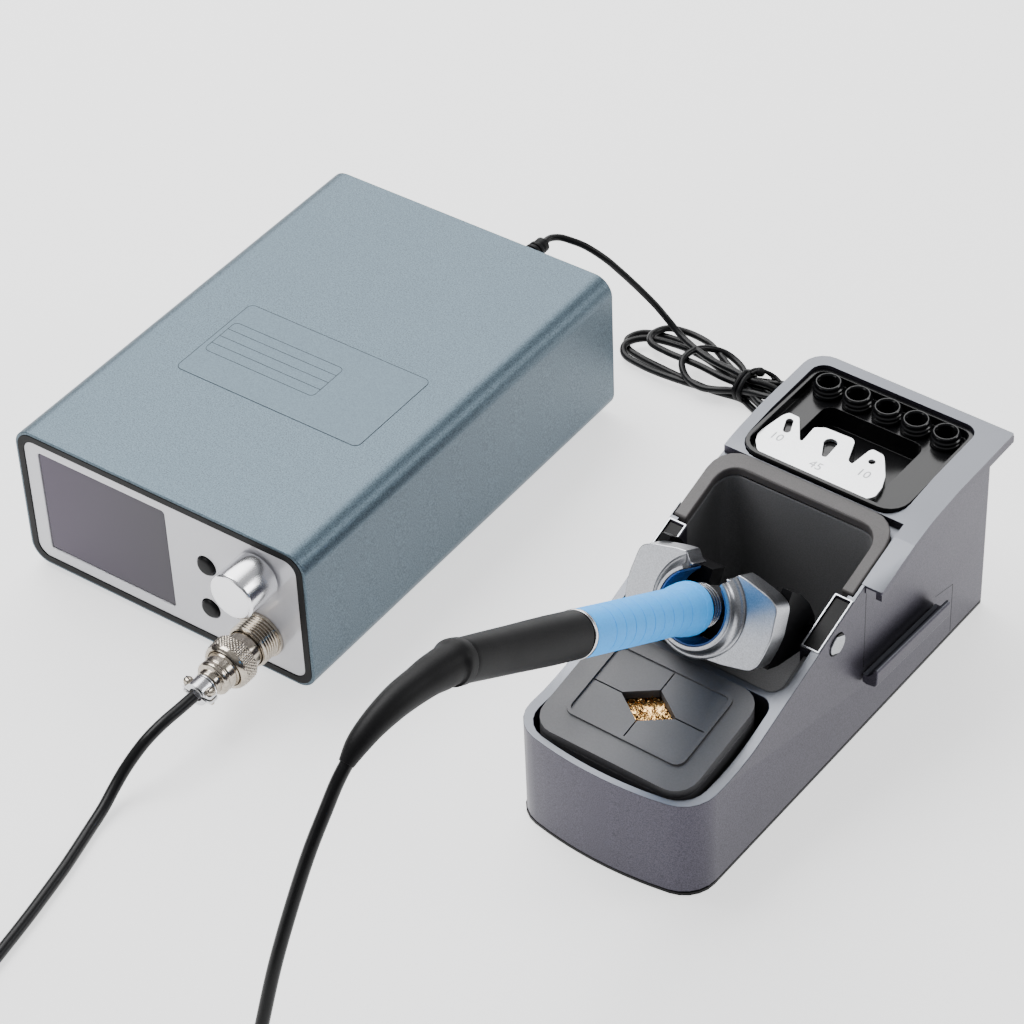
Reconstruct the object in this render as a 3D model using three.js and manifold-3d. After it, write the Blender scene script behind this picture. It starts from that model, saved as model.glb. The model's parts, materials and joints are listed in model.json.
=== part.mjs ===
// Soldering iron station: a main unit with its controls, a stand with a tilting holder, the iron and
// its leads. Millimetres, +Z up, the front faces -Y. The stand is square to the axes, and the main unit
// stands beside it on the left, turned by UNIT_TURN about its front left corner.
import * as THREE from 'three';
import * as BufferGeometryUtils from 'three/addons/utils/BufferGeometryUtils.js';
import Module from 'manifold-3d';

const wasm = await Module();
wasm.setup();

// ---- driving dimensions ----
const GAP = 0.3;                 // clearance between touching pieces
const UNIT_TURN = 1.492;         // degrees
const UNIT = { width: 125, depth: 177.4, bottom: 2, top: 60.8, radius: 7.4, wall: 2.4 };
const PANEL_INSET = 4.1;         // sleeve outside to panel edge
const SCREEN = { x0: 9.7, x1: 65.4, z0: 10.4, z1: 53.3 };
const BUTTONS = { channel_button: [81.9, 37.4], set_button: [81.7, 18.1] };
const BUTTON_R = 3.65;
const KNOB = { x: 105.1, z: 46, radius: 8.8, length: 15 };
const PLUG = { x: 104, z: 18.3 };    // socket and plug axis
const RELIEF = { x: 83, z: 49, end: 194 };

const STAND = { centre: 246.4, half: 35.75, back: 169.8, frontRadius: 133, front: -4.3, corner: 12.5 };
const SKIN = 3.4;                // how far the shell lies below the cover plate's top
const TOP_LINE = [               // height of the stand's top line along its depth, [y, z]
  [-12, 39.6], [17, 39.6], [23, 40.2], [29, 41.2], [34, 42.7], [45, 46.8], [56, 50.9], [67.5, 55.2],
  [79, 59.5], [90, 63.6], [103.5, 68.3], [112, 71.1], [121, 73.2], [127, 74.1], [139, 75.2], [176, 76],
];
const COVER = { y0: 93.2, y1: 172.5, x0: 211.3, x1: 288.4, thickness: 3.1 };
const TRAY = { x0: 215.7, x1: 277.9, y0: 118, y1: 167.7, floor: 71 };
const BUSHES = [223.7, 235.3, 246.9, 258.1, 269.6];
const BUSH_Y = 160.8;
const PULLER_OUTLINE = [
  [225, 119.7], [261.9, 119.7], [264.7, 120.6], [266.3, 123], [265.9, 127.9], [263.7, 133.4], [258.8, 140.6],
  [257.4, 142.1], [253.2, 142.6], [252.4, 141.5], [251.4, 132.4], [249.5, 133.2], [246.2, 142.2], [244.8, 143.4],
  [234.4, 143], [231.1, 141], [231.7, 133.2], [230.9, 132.8], [224.3, 142.6], [220.2, 142.7], [219, 140.3],
  [217.5, 130.6], [217.6, 127.6], [218.9, 124.6], [221.7, 121.2],
];
const PIVOT = { y: 77.4, z: 51.4 };  // tilt axis of the holder, along X

const SEAT = [246.4, 52.42, 68.04];  // where the iron's axis meets the holder's face
const IRON_RISE = 30.06;             // degrees, iron axis above level
const CUP_DEPTH = 8.8;
const LEAD_D = 4.1;
const SLEEP_D = 2.2;

// ---- solids ----
function flipIfInsideOut(geometry) {
  const p = geometry.attributes.position;
  const index = geometry.index.array;
  const [a, b, c] = [new THREE.Vector3(), new THREE.Vector3(), new THREE.Vector3()];
  let volume = 0;
  for (let i = 0; i < index.length; i += 3) {
    a.fromBufferAttribute(p, index[i]);
    b.fromBufferAttribute(p, index[i + 1]);
    c.fromBufferAttribute(p, index[i + 2]);
    volume += a.dot(b.cross(c));
  }
  if (volume < 0) for (let i = 0; i < index.length; i += 3) [index[i], index[i + 1]] = [index[i + 1], index[i]];
  return geometry;
}

function welded(geometry) {
  const g = geometry.clone();
  g.deleteAttribute('normal');
  g.deleteAttribute('uv');
  return flipIfInsideOut(BufferGeometryUtils.mergeVertices(g, 1e-4));
}

function toManifold(geometry) {
  const g = welded(geometry);
  return new wasm.Manifold(new wasm.Mesh({
    numProp: 3,
    vertProperties: new Float32Array(g.attributes.position.array),
    triVerts: new Uint32Array(g.index.array),
  }));
}

function fromManifold(manifold) {
  const mesh = manifold.getMesh();
  const g = new THREE.BufferGeometry();
  g.setAttribute('position', new THREE.BufferAttribute(new Float32Array(mesh.vertProperties), 3));
  g.setIndex(new THREE.BufferAttribute(new Uint32Array(mesh.triVerts), 1));
  return g;
}

const join = (...solids) => fromManifold(solids.map(toManifold).reduce((a, b) => a.add(b)));
const cut = (solid, ...tools) => fromManifold(tools.map(toManifold).reduce((a, b) => a.subtract(b), toManifold(solid)));
const common = (a, b) => fromManifold(toManifold(a).intersect(toManifold(b)));

const block = (x0, x1, y0, y1, z0, z1) =>
  new THREE.BoxGeometry(x1 - x0, y1 - y0, z1 - z0).translate((x0 + x1) / 2, (y0 + y1) / 2, (z0 + z1) / 2);

function prism(points, depth) {
  const shape = new THREE.Shape(points.map(([x, y]) => new THREE.Vector2(x, y)));
  return new THREE.ExtrudeGeometry(shape, { depth, steps: 1, bevelEnabled: false });
}

function basis(x, y, z, origin) {
  const m = new THREE.Matrix4().makeBasis(new THREE.Vector3(...x), new THREE.Vector3(...y), new THREE.Vector3(...z));
  return m.setPosition(...origin);
}

// Prisms of an outline given in (x, y), (y, z) and (x, z).
const alongZ = (points, z0, z1) => prism(points, z1 - z0).translate(0, 0, z0);
const alongX = (points, x0, x1) =>
  prism(points, x1 - x0).applyMatrix4(basis([0, 1, 0], [0, 0, 1], [1, 0, 0], [x0, 0, 0]));
const alongY = (points, y0, y1) =>
  prism(points, y1 - y0).applyMatrix4(basis([1, 0, 0], [0, 0, 1], [0, -1, 0], [0, y1, 0]));

function arc(cx, cy, r, from, to, steps) {
  return Array.from({ length: steps + 1 }, (_, i) => {
    const t = THREE.MathUtils.degToRad(from + (to - from) * i / steps);
    return [cx + r * Math.cos(t), cy + r * Math.sin(t)];
  });
}

// Rounded rectangle; r is one radius, or [front left, front right, back right, back left].
function rounded(x0, x1, y0, y1, r, steps = 5) {
  const [a, b, c, d] = Array.isArray(r) ? r : [r, r, r, r];
  return [
    ...arc(x0 + a, y0 + a, a, 180, 270, steps), ...arc(x1 - b, y0 + b, b, 270, 360, steps),
    ...arc(x1 - c, y1 - c, c, 0, 90, steps), ...arc(x0 + d, y1 - d, d, 90, 180, steps),
  ];
}

// Turned solid about +Z of a profile [[radius, z], ...] that starts and ends on the axis or closes.
function turned(profile, segments = 24) {
  return new THREE.LatheGeometry(profile.map(([r, z]) => new THREE.Vector2(r, z)), segments).rotateX(Math.PI / 2);
}
const disc = (r, z0, z1, segments = 24) => turned([[0, z0], [r, z0], [r, z1], [0, z1]], segments);
const ring = (r0, r1, z0, z1, segments = 24) =>
  turned([[r0, z0], [r1, z0], [r1, z1], [r0, z1], [r0, z0]], segments);

// Stands a solid made about +Z on another axis, 'x', 'y' or 'z', through the given point.
function onAxis(geometry, axis, [x, y, z]) {
  const g = geometry.clone();
  if (axis === 'x') g.rotateY(Math.PI / 2);
  if (axis === 'y') g.rotateX(-Math.PI / 2);
  return g.translate(x, y, z);
}

function cordTube(points, diameter, steps) {
  const path = new THREE.CatmullRomCurve3(points.map((p) => new THREE.Vector3(...p)), false, 'centripetal');
  const sides = 8;
  const section = new THREE.Shape(arc(0, 0, diameter / 2, 0, 360, sides).slice(0, sides)
    .map(([x, y]) => new THREE.Vector2(x, y)));
  return new THREE.ExtrudeGeometry(section, { steps, bevelEnabled: false, extrudePath: path });
}

// ---- looks ----
const LOOKS = {
  anodised: ['#a3adb5', 0.42, 0.75], silverPanel: ['#e4e6e8', 0.2, 0.35], blackRubber: ['#17181a', 0.8, 0],
  glass: ['#6f6a73', 0.08, 0], board: ['#1f5a3a', 0.6, 0], blackPlastic: ['#1b1c1f', 0.5, 0],
  steel: ['#c3c5c8', 0.3, 0.95], aluminium: ['#d9dbdd', 0.22, 0.95], nickel: ['#b9b3a6', 0.28, 0.95],
  brass: ['#c9a24a', 0.35, 0.9], standPaint: ['#aeb3b8', 0.45, 0.5], greyPlastic: ['#84827f', 0.55, 0],
  silicone: ['#8f9194', 0.75, 0], gloss: ['#101113', 0.12, 0], blueGrip: ['#7fb2d8', 0.7, 0],
  blueSilicone: ['#5d9fd6', 0.6, 0], cord: ['#131416', 0.6, 0], psu: ['#9aa0a6', 0.4, 0.8],
};

function piece(parent, name, look, geometry) {
  const [color, roughness, metalness] = LOOKS[look];
  const g = welded(geometry);
  g.computeVertexNormals();
  const mesh = new THREE.Mesh(g, new THREE.MeshStandardMaterial({ color, roughness, metalness }));
  mesh.name = name;
  parent.add(mesh);
  return mesh;
}

// ---- main unit ----
const unitOutline = (inset, r = Math.max(UNIT.radius - inset, 1)) =>
  rounded(inset, UNIT.width - inset, UNIT.bottom + inset, UNIT.top - inset, r);

function sleeve(unit) {
  piece(unit, 'case_sleeve', 'anodised', cut(alongY(unitOutline(0), 0, UNIT.depth),
    alongY(unitOutline(UNIT.wall), -1, UNIT.depth + 1)));
  piece(unit, 'front_gasket', 'blackRubber', cut(alongY(unitOutline(UNIT.wall + 0.2), 0.6, 2.8),
    alongY(unitOutline(PANEL_INSET - 0.2, 4.8), 0, 4)));
  const corners = { foot_1: [14, 14], foot_2: [111, 14], foot_3: [14, 163], foot_4: [111, 163] };
  for (const [name, [x, y]] of Object.entries(corners)) {
    piece(unit, name, 'blackRubber', onAxis(disc(6, 0, UNIT.bottom - GAP), 'z', [x, y, 0]));
  }
}

function frontPanel(unit) {
  const holes = Object.values(BUTTONS).map(([x, z]) => onAxis(disc(BUTTON_R + GAP, -1, 5), 'y', [x, 0, z]));
  piece(unit, 'front_panel', 'silverPanel', cut(alongY(unitOutline(PANEL_INSET, 4.6), 0.3, 2.8),
    alongY(rounded(SCREEN.x0, SCREEN.x1, SCREEN.z0, SCREEN.z1, 1.2, 2), -1, 5),
    onAxis(disc(3.9, -1, 5), 'y', [KNOB.x, 0, KNOB.z]), onAxis(disc(6.9, -1, 5), 'y', [PLUG.x, 0, PLUG.z]), ...holes));
  piece(unit, 'screen_window', 'glass', join(
    alongY(rounded(SCREEN.x0 + GAP, SCREEN.x1 - GAP, SCREEN.z0 + GAP, SCREEN.z1 - GAP, 1, 2), 0.5, 3.4),
    block(SCREEN.x0 - 1.5, SCREEN.x1 + 1.5, 3.1, 8.5, SCREEN.z0 - 1.5, SCREEN.z1 + 1.5)));
}

// Circuit board behind the panel, with the two button switches on it.
function frontBoard(unit) {
  const switches = Object.values(BUTTONS).map(([x, z]) =>
    join(block(x - 3, x + 3, 6.4, 10.2, z - 3, z + 3), onAxis(disc(1.7, 5.4, 6.6, 12), 'y', [x, 0, z])));
  piece(unit, 'front_board', 'board', cut(join(block(7, 118, 10, 11.6, 8.5, 54.5), ...switches),
    onAxis(disc(9.6, 9, 13), 'y', [PLUG.x, 0, PLUG.z])));
}

function encoderAndKnob(unit) {
  const at = [KNOB.x, 0, KNOB.z];
  piece(unit, 'encoder_body', 'steel', cut(join(block(KNOB.x - 7, KNOB.x + 7, 3.1, 9.7, KNOB.z - 6.5, KNOB.z + 7),
    onAxis(disc(3.5, 0.4, 3.4), 'y', at)), onAxis(disc(3.3, 0, 4.4), 'y', at), onAxis(disc(5.3, 3.9, 8.8), 'y', at)));
  piece(unit, 'encoder_rotor', 'blackPlastic', onAxis(ring(3.3, 5, 4.2, 7.6), 'y', at));
  piece(unit, 'encoder_shaft', 'steel', onAxis(disc(3, -12, 8), 'y', at));
  const { radius: r, length } = KNOB;
  piece(unit, 'control_knob', 'aluminium', onAxis(turned([
    [0, -length], [r - 1.1, -length], [r, -length + 1], [r, -0.8], [3.4, -0.8], [3.4, -12.4], [0, -12.4],
  ], 40), 'y', at));
}

function buttons(unit) {
  for (const [name, [x, z]] of Object.entries(BUTTONS)) {
    piece(unit, name, 'blackPlastic', onAxis(turned([
      [0, -1], [BUTTON_R - 0.5, -1], [BUTTON_R, -0.5], [BUTTON_R, 3.1], [4.8, 3.1], [4.8, 4.2], [0, 4.2],
    ]), 'y', [x, 0, z]));
  }
}

function socketAndPlug(unit) {
  const at = [PLUG.x, 0, PLUG.z];
  piece(unit, 'panel_socket', 'nickel', onAxis(turned([
    [0, -2], [7, -2], [7, -8.8], [7.7, -8.8], [8, -8.4], [8, -1.2], [8.8, -1.2], [8.8, 0], [6.6, 0],
    [6.6, 16], [0, 16],
  ]), 'y', at));
  piece(unit, 'plug_shell', 'nickel', onAxis(turned([
    [0, -29.7], [4.65, -29.7], [4.65, -27.3], [6.4, -26.6], [6.4, -21.4], [6.7, -20.8], [6.7, -2.4], [0, -2.4],
  ]), 'y', at));
  piece(unit, 'coupling_nut', 'nickel', onAxis(turned([
    [7, -20.6], [7.6, -21], [8.6, -20], [8.85, -19], [8.85, -13.9], [8.5, -13.5], [7, -13.5], [7, -20.6],
  ]), 'y', at));
  const saddle = alongY([...rounded(-5.3, 5.3, -4.6, 4.6, 2.2, 3)], -36.2, -30).translate(PLUG.x, 0, PLUG.z);
  const heads = [-1, 1].map((s) => onAxis(disc(1.7, 4, 5.6, 12), 'z', [PLUG.x + s * 3.2, -33.1, PLUG.z]));
  piece(unit, 'cable_clamp', 'steel', join(saddle, ...heads));
}

const INLET = { x: 26, z: 27 };
const SWITCH = { x: 60, z: 27 };

function rearPanel(unit) {
  const y0 = UNIT.depth - 2.4;
  const y1 = UNIT.depth - 0.4;
  piece(unit, 'rear_panel', 'anodised', cut(alongY(unitOutline(UNIT.wall + GAP), y0, y1),
    block(INLET.x - 13.8, INLET.x + 13.8, y0 - 1, y1 + 1, INLET.z - 10, INLET.z + 10),
    block(SWITCH.x - 6.8, SWITCH.x + 6.8, y0 - 1, y1 + 1, SWITCH.z - 9.8, SWITCH.z + 9.8),
    onAxis(disc(4.2, y0 - 1, y1 + 1), 'y', [RELIEF.x, 0, RELIEF.z])));
  const shroud = join(block(INLET.x - 13.5, INLET.x + 13.5, y1 - 22, y1 + 1, INLET.z - 9.7, INLET.z + 9.7),
    block(INLET.x - 16.5, INLET.x + 16.5, y1 + GAP, y1 + 2.6, INLET.z - 12.5, INLET.z + 12.5));
  const well = alongY([[-11.8, -8], [11.8, -8], [11.8, 3.6], [7.4, 8], [-7.4, 8], [-11.8, 3.6]], y1 - 17, y1 + 5)
    .translate(INLET.x, 0, INLET.z);
  const pins = [[-7, -2], [7, -2], [0, 2]].map(([x, z]) => block(INLET.x + x - 1, INLET.x + x + 1, y1 - 18, y1 - 3,
    INLET.z + z - 2, INLET.z + z + 2));
  piece(unit, 'mains_inlet', 'blackPlastic', join(cut(shroud, well), ...pins));
  piece(unit, 'switch_frame', 'blackPlastic', cut(join(
    block(SWITCH.x - 6.5, SWITCH.x + 6.5, y1 - 14, y1 + 1, SWITCH.z - 9.5, SWITCH.z + 9.5),
    block(SWITCH.x - 7.5, SWITCH.x + 7.5, y1 + GAP, y1 + 2, SWITCH.z - 10.5, SWITCH.z + 10.5)),
    block(SWITCH.x - 5.3, SWITCH.x + 5.3, y1 - 12, y1 + 5, SWITCH.z - 8.6, SWITCH.z + 8.6)));
  // The rocker's face is a shallow V about its pivot, with one half pressed in.
  const rocker = [[-7.2, -1], [-2, -7], [2, -7], [7.2, -1], [7.4, 3], [0, 1], [-7.4, 1]];
  piece(unit, 'power_rocker', 'blackPlastic', alongX(rocker.map(([z, y]) => [y1 + y, SWITCH.z + z]),
    SWITCH.x - 5, SWITCH.x + 5));
  piece(unit, 'sleep_relief', 'blackRubber', onAxis(turned([
    [0, y0 - 3], [5.6, y0 - 3], [5.6, y0 - GAP], [3.8, y0 - GAP], [3.8, y1 + GAP], [5.4, y1 + GAP],
    [5.4, y1 + 2], [4.2, y1 + 2], [3.7, RELIEF.end - 6], [2.9, RELIEF.end], [0, RELIEF.end],
  ]), 'y', [RELIEF.x, 0, RELIEF.z]));
}

function electronics(unit) {
  piece(unit, 'main_board', 'board', join(block(12, 113, 20, 96, 12, 13.6),
    block(20, 34, 70, 90, 13, 33), block(60, 84, 40, 66, 13, 20), onAxis(disc(6, 13, 32), 'z', [98, 78, 0])));
  piece(unit, 'power_supply', 'psu', block(14, 111, 102, 150, 8, 46));
}

function mainUnit() {
  const unit = new THREE.Group();
  unit.rotation.z = THREE.MathUtils.degToRad(UNIT_TURN);
  sleeve(unit);
  frontPanel(unit);
  frontBoard(unit);
  encoderAndKnob(unit);
  buttons(unit);
  socketAndPlug(unit);
  rearPanel(unit);
  electronics(unit);
  return unit;
}

// ---- stand ----
const sx = (x) => STAND.centre + x;

// Plan of the stand, set in from its walls: square at the back, bowed at the front.
function standPlan(inset, backCorner = 1) {
  const half = STAND.half - inset;
  const big = STAND.frontRadius - inset;
  const cy = STAND.front + STAND.frontRadius;
  const r = STAND.corner - inset;
  const fx = half - r;
  const fy = cy - Math.sqrt((big - r) ** 2 - fx ** 2);
  const angle = THREE.MathUtils.radToDeg(Math.atan2(fy - cy, fx));
  const back = STAND.back - inset;
  return [
    ...arc(sx(-fx), fy, r, 180, 180 - angle, 5), ...arc(STAND.centre, cy, big, -180 - angle + 1, angle - 1, 12),
    ...arc(sx(fx), fy, r, angle, 0, 5),
    ...arc(sx(half - backCorner), back - backCorner, backCorner, 0, 90, 3),
    ...arc(sx(-half + backCorner), back - backCorner, backCorner, 90, 180, 3),
  ];
}

// Everything below the top line lowered by `drop`, between two depths.
function under(drop, y0, y1, z0 = -20, x0 = 190, x1 = 300) {
  const inside = TOP_LINE.filter(([y]) => y > y0 && y < y1);
  const line = [[y0, topAt(y0)], ...inside, [y1, topAt(y1)]].map(([y, z]) => [y, z - drop]);
  return alongX([[y0, z0], ...line, [y1, z0]], x0, x1);
}

function topAt(y) {
  const i = Math.max(1, TOP_LINE.findIndex(([v]) => v >= y));
  const [[ya, za], [yb, zb]] = [TOP_LINE[i - 1], TOP_LINE[i]];
  return za + (zb - za) * (y - ya) / (yb - ya);
}

// The slab between the top line raised by `above` and lowered by `below`.
function topSlab(above, below, y0, y1) {
  const inside = TOP_LINE.filter(([y]) => y > y0 && y < y1);
  const line = [[y0, topAt(y0)], ...inside, [y1, topAt(y1)]];
  return alongX([...line.map(([y, z]) => [y, z - below]), ...line.reverse().map(([y, z]) => [y, z + above])], 190, 300);
}

const WELL = { x0: 214.4, x1: 278.4, back: 47.4 };
const CAVITY = { x0: 213.8, x1: 279, y0: 49.6, y1: 114.2 };
const RIM = { x0: 211.4, x1: 280.5, y0: 88.5, y1: 117.3 };
const NOTCH = { y0: 67.2, y1: 86.7, x0: 28.4, x1: 35.6, block: [29.5, 34.6, 68.2, 86] };

function wellPlan() {
  const cy = STAND.front + STAND.frontRadius;
  const big = STAND.frontRadius - 2.4;
  const r = 10;
  const fx = (WELL.x1 - WELL.x0) / 2 - r;
  const fy = cy - Math.sqrt((big - r) ** 2 - fx ** 2);
  const angle = THREE.MathUtils.radToDeg(Math.atan2(fy - cy, fx));
  return [
    ...arc(sx(-fx), fy, r, 180, 180 - angle, 5), ...arc(STAND.centre, cy, big, -180 - angle + 1, angle - 1, 10),
    ...arc(sx(fx), fy, r, angle, 0, 5),
    ...arc(WELL.x1 - 4, WELL.back - 4, 4, 0, 90, 4), ...arc(WELL.x0 + 4, WELL.back - 4, 4, 90, 180, 4),
  ];
}

const mirrored = (s, x0, x1) => (s > 0 ? [sx(x0), sx(x1)] : [sx(-x1), sx(-x0)]);

function standShell(stand) {
  const roof = join(under(0, -12, COVER.y0), under(SKIN, COVER.y0, 176));
  const bosses = [-1, 1].map((s) => common(
    block(...mirrored(s, NOTCH.x0, 33), NOTCH.y0, NOTCH.y1, 34, 80), under(0, -12, COVER.y0)));
  const slots = [-1, 1].flatMap((s) => [
    block(...mirrored(s, 29.2, 34.9), 67.9, 86.3, 40, 80),
    onAxis(disc(2.6, sx(s * 31) - 5, sx(s * 31) + 5, 16), 'x', [0, PIVOT.y, PIVOT.z]),
    onAxis(disc(4.2, sx(s * 36) - 2, sx(s * 36) + 2), 'x', [0, PIVOT.y, PIVOT.z]),
  ]);
  const walls = cut(common(alongZ(standPlan(0), 1.5, 90), roof),
    alongZ(wellPlan(), -1, 90),
    alongZ(rounded(CAVITY.x0, CAVITY.x1, CAVITY.y0, CAVITY.y1, [5, 5, 2, 2]), -1, 90),
    alongZ(rounded(TRAY.x0 - GAP, TRAY.x1 + GAP, TRAY.y0 - GAP, TRAY.y1 + GAP, 5), -1, 90),
    common(block(RIM.x0 - GAP, RIM.x1 + GAP, RIM.y0 - GAP, COVER.y0 + 1, 0, 90), cut(block(200, 290, 80, 120, 40, 90),
      under(SKIN, 70, 130))));
  piece(stand, 'stand_shell', 'standPaint', cut(join(walls, ...bosses), ...slots,
    onAxis(disc(3.1, 165, 172, 16), 'y', [232, 0, 10])));
  piece(stand, 'base_plate', 'blackPlastic', join(alongZ(standPlan(1), 0, 1.2), alongZ(wellPlan().map(
    ([x, y]) => [STAND.centre + (x - STAND.centre) * 0.98, 22 + (y - 22) * 0.97]), 1, 3)));
}

// Cover plate over the back of the stand: a frame around the tip tray, with a lip along its right edge.
function coverPlate(stand) {
  const slab = common(topSlab(0, COVER.thickness, COVER.y0, COVER.y1),
    alongZ(rounded(COVER.x0, COVER.x1, COVER.y0, COVER.y1, [1, 0.6, 0.6, 8]), 30, 90));
  const lip = common(topSlab(-1, 3.7, COVER.y0, COVER.y1), block(286.2, COVER.x1, COVER.y0, COVER.y1, 30, 90));
  const undercut = cut(block(282.5, 286.2, 90, 174, 30, 90), cut(block(270, 300, 80, 176, 30, 100),
    under(0.9, 80, 176)));
  piece(stand, 'cover_plate', 'standPaint', cut(join(slab, lip), undercut,
    block(200, RIM.x1 + GAP, 80, RIM.y1 + 0.2, 30, 90),
    alongZ(rounded(TRAY.x0 - GAP, TRAY.x1 + GAP, TRAY.y0 - GAP, TRAY.y1 + GAP, [8, 8, 5, 5]), 30, 90)));
}

// Black tub in the cavity behind the cup; its side walls are open where the pivot blocks stand.
function cavityLiner(stand) {
  const outside = common(alongZ(rounded(CAVITY.x0 + GAP, CAVITY.x1 - GAP, CAVITY.y0 + GAP, CAVITY.y1 - GAP,
    [4.7, 4.7, 2, 2]), 3.6, 90), under(3, -12, 176));
  const inside = alongZ(rounded(216.3, 276.5, CAVITY.y0 + 2.4, 111.5, [4, 4, 7, 7]), 5.6, 90);
  const sides = [-1, 1].map((s) => block(...mirrored(s, NOTCH.x0 - GAP, 36), NOTCH.y0 - GAP, NOTCH.y1 + GAP, 33.6, 90));
  piece(stand, 'cavity_liner', 'blackPlastic', cut(outside, inside, ...sides));
}

function linerRim(stand) {
  const outer = alongZ(rounded(RIM.x0, RIM.x1, RIM.y0, RIM.y1, [0.6, 0.6, 10, 10]), 30, 100);
  const inner = alongZ(rounded(216.3, 276.2, RIM.y0 - 5, 111.5, [1, 1, 7, 7]), 20, 110);
  piece(stand, 'liner_rim', 'greyPlastic', cut(common(topSlab(0.6, 2.6, RIM.y0, RIM.y1), outer), inner));
}

function tipTray(stand) {
  const tub = cut(alongZ(rounded(TRAY.x0, TRAY.x1, TRAY.y0, TRAY.y1, [7.7, 7.7, 4.7, 4.7]), 60, 74.4),
    alongZ(rounded(TRAY.x0 + 1.4, TRAY.x1 - 1.4, TRAY.y0 + 1.4, TRAY.y1 - 1.4, [6.5, 6.5, 3.6, 3.6]), TRAY.floor, 80),
    alongZ(rounded(227, 265.4, 120.3, 155.4, 4), 63, 80),
    ...BUSHES.map((x) => onAxis(disc(4, 50, 80), 'z', [x, BUSH_Y, 0])));
  // Below its floor the tray narrows to the pocket and a rib that carries the bushes.
  const lower = join(block(200, 290, 100, 180, 68.8, 90), block(224.8, 267.4, 118, 157.4, 50, 70),
    block(218, 275.5, 155, 166.5, 50, 70));
  const riser = common(alongZ(PULLER_OUTLINE, 62, 71.5), join(block(200, 290, 100, 180, 70, 90),
    block(226, 266, 119.5, 150, 60, 71)));
  piece(stand, 'tip_tray', 'gloss', join(common(tub, lower), riser));
}

function tipBushes(stand) {
  BUSHES.forEach((x, i) => piece(stand, `tip_bush_${i + 1}`, 'gloss', onAxis(turned([
    [3.25, 60.5], [3.7, 60.5], [3.7, TRAY.floor + GAP], [5.2, TRAY.floor + GAP], [5.2, 73.4], [4.9, 73.8],
    [4.6, 76], [3.6, 76], [3.25, 75.6], [3.25, 60.5],
  ]), 'z', [x, BUSH_Y, 0])));
}

// Plate with a slot, a keyhole and a round hole, for pulling cartridges out of the iron.
function pullerPlate(stand) {
  const slot = alongZ(rounded(-1.3, 1.3, -4, 4, 1.25, 4), 70, 76).rotateZ(0.39).translate(223.6, 136.9, 0);
  const throat = block(-0.8, 0.8, -6.6, 0, 70, 76).rotateZ(0.27).translate(240, 137.4, 0);
  piece(stand, 'puller_plate', 'aluminium', cut(alongZ(PULLER_OUTLINE, 71.8, 73), slot, throat,
    onAxis(disc(1.95, 70, 76, 16), 'z', [240, 137.4, 0]), onAxis(disc(1.2, 70, 76, 16), 'z', [256.2, 137, 0])));
}

// Shelf on the right wall: a bowed, slightly falling trough with an upturned outer lip.
function sideRail(stand) {
  const section = [[282.4, 26.5], [284.2, 26.3], [286, 28.2], [286.6, 30.2], [287.6, 30.4], [288.2, 29.6], [288.2, 24.4],
    [287.4, 22.9], [284, 22.4], [282.4, 23]];
  const rail = alongY(section, 93, 137.7);
  rail.applyMatrix4(new THREE.Matrix4().set(1, 0, 0, 0, 0, 1, 0, 0, 0, -0.06, 1, 5.6, 0, 0, 0, 1));
  piece(stand, 'side_rail', 'standPaint', rail);
}

function pivotBlocks(stand) {
  for (const [s, name] of [[1, 'pivot_block_right'], [-1, 'pivot_block_left']]) {
    const [x0, x1, y0, y1] = NOTCH.block;
    const bearing = common(block(...mirrored(s, x0, x1), y0, y1, 40.3, 80), under(0.4, -12, 100));
    const pin = onAxis(disc(2, sx(s * 28.6) - 7.6, sx(s * 28.6) + 7.6, 16), 'x', [0, PIVOT.y, PIVOT.z]);
    const head = onAxis(disc(3.9, sx(s * 35.2) - 0.9, sx(s * 35.2) + 0.9), 'x', [0, PIVOT.y, PIVOT.z]);
    piece(stand, name, 'blackPlastic', join(bearing, pin, head));
  }
}

// Holder frame: x across, y up at right angles to the iron, z along the iron towards its tail.
const holderFrame = basis([1, 0, 0],
  [0, Math.sin(THREE.MathUtils.degToRad(IRON_RISE)), Math.cos(THREE.MathUtils.degToRad(IRON_RISE))],
  [0, -Math.cos(THREE.MathUtils.degToRad(IRON_RISE)), Math.sin(THREE.MathUtils.degToRad(IRON_RISE))], SEAT);

const CUP_SIDE = [
  [11.2, 14.6], [13.2, 14.4], [18.4, 13.2], [22.5, 12.2], [25.3, 10.7], [26.3, 8.8], [27.2, 0],
  [26.5, -5.4], [25.4, -10], [23.6, -12.3], [21.6, -13], [13.1, -14.7], [5.7, -15.4],
];

function slotTool(half, z0, z1) {
  return alongZ([[-half, 6], [half, 6], [half, 11.8], [half + 2.1, 14.8], [half + 2.1, 22], [-half - 2.1, 22],
    [-half - 2.1, 14.8], [-half, 11.8]], z0, z1);
}

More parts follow.
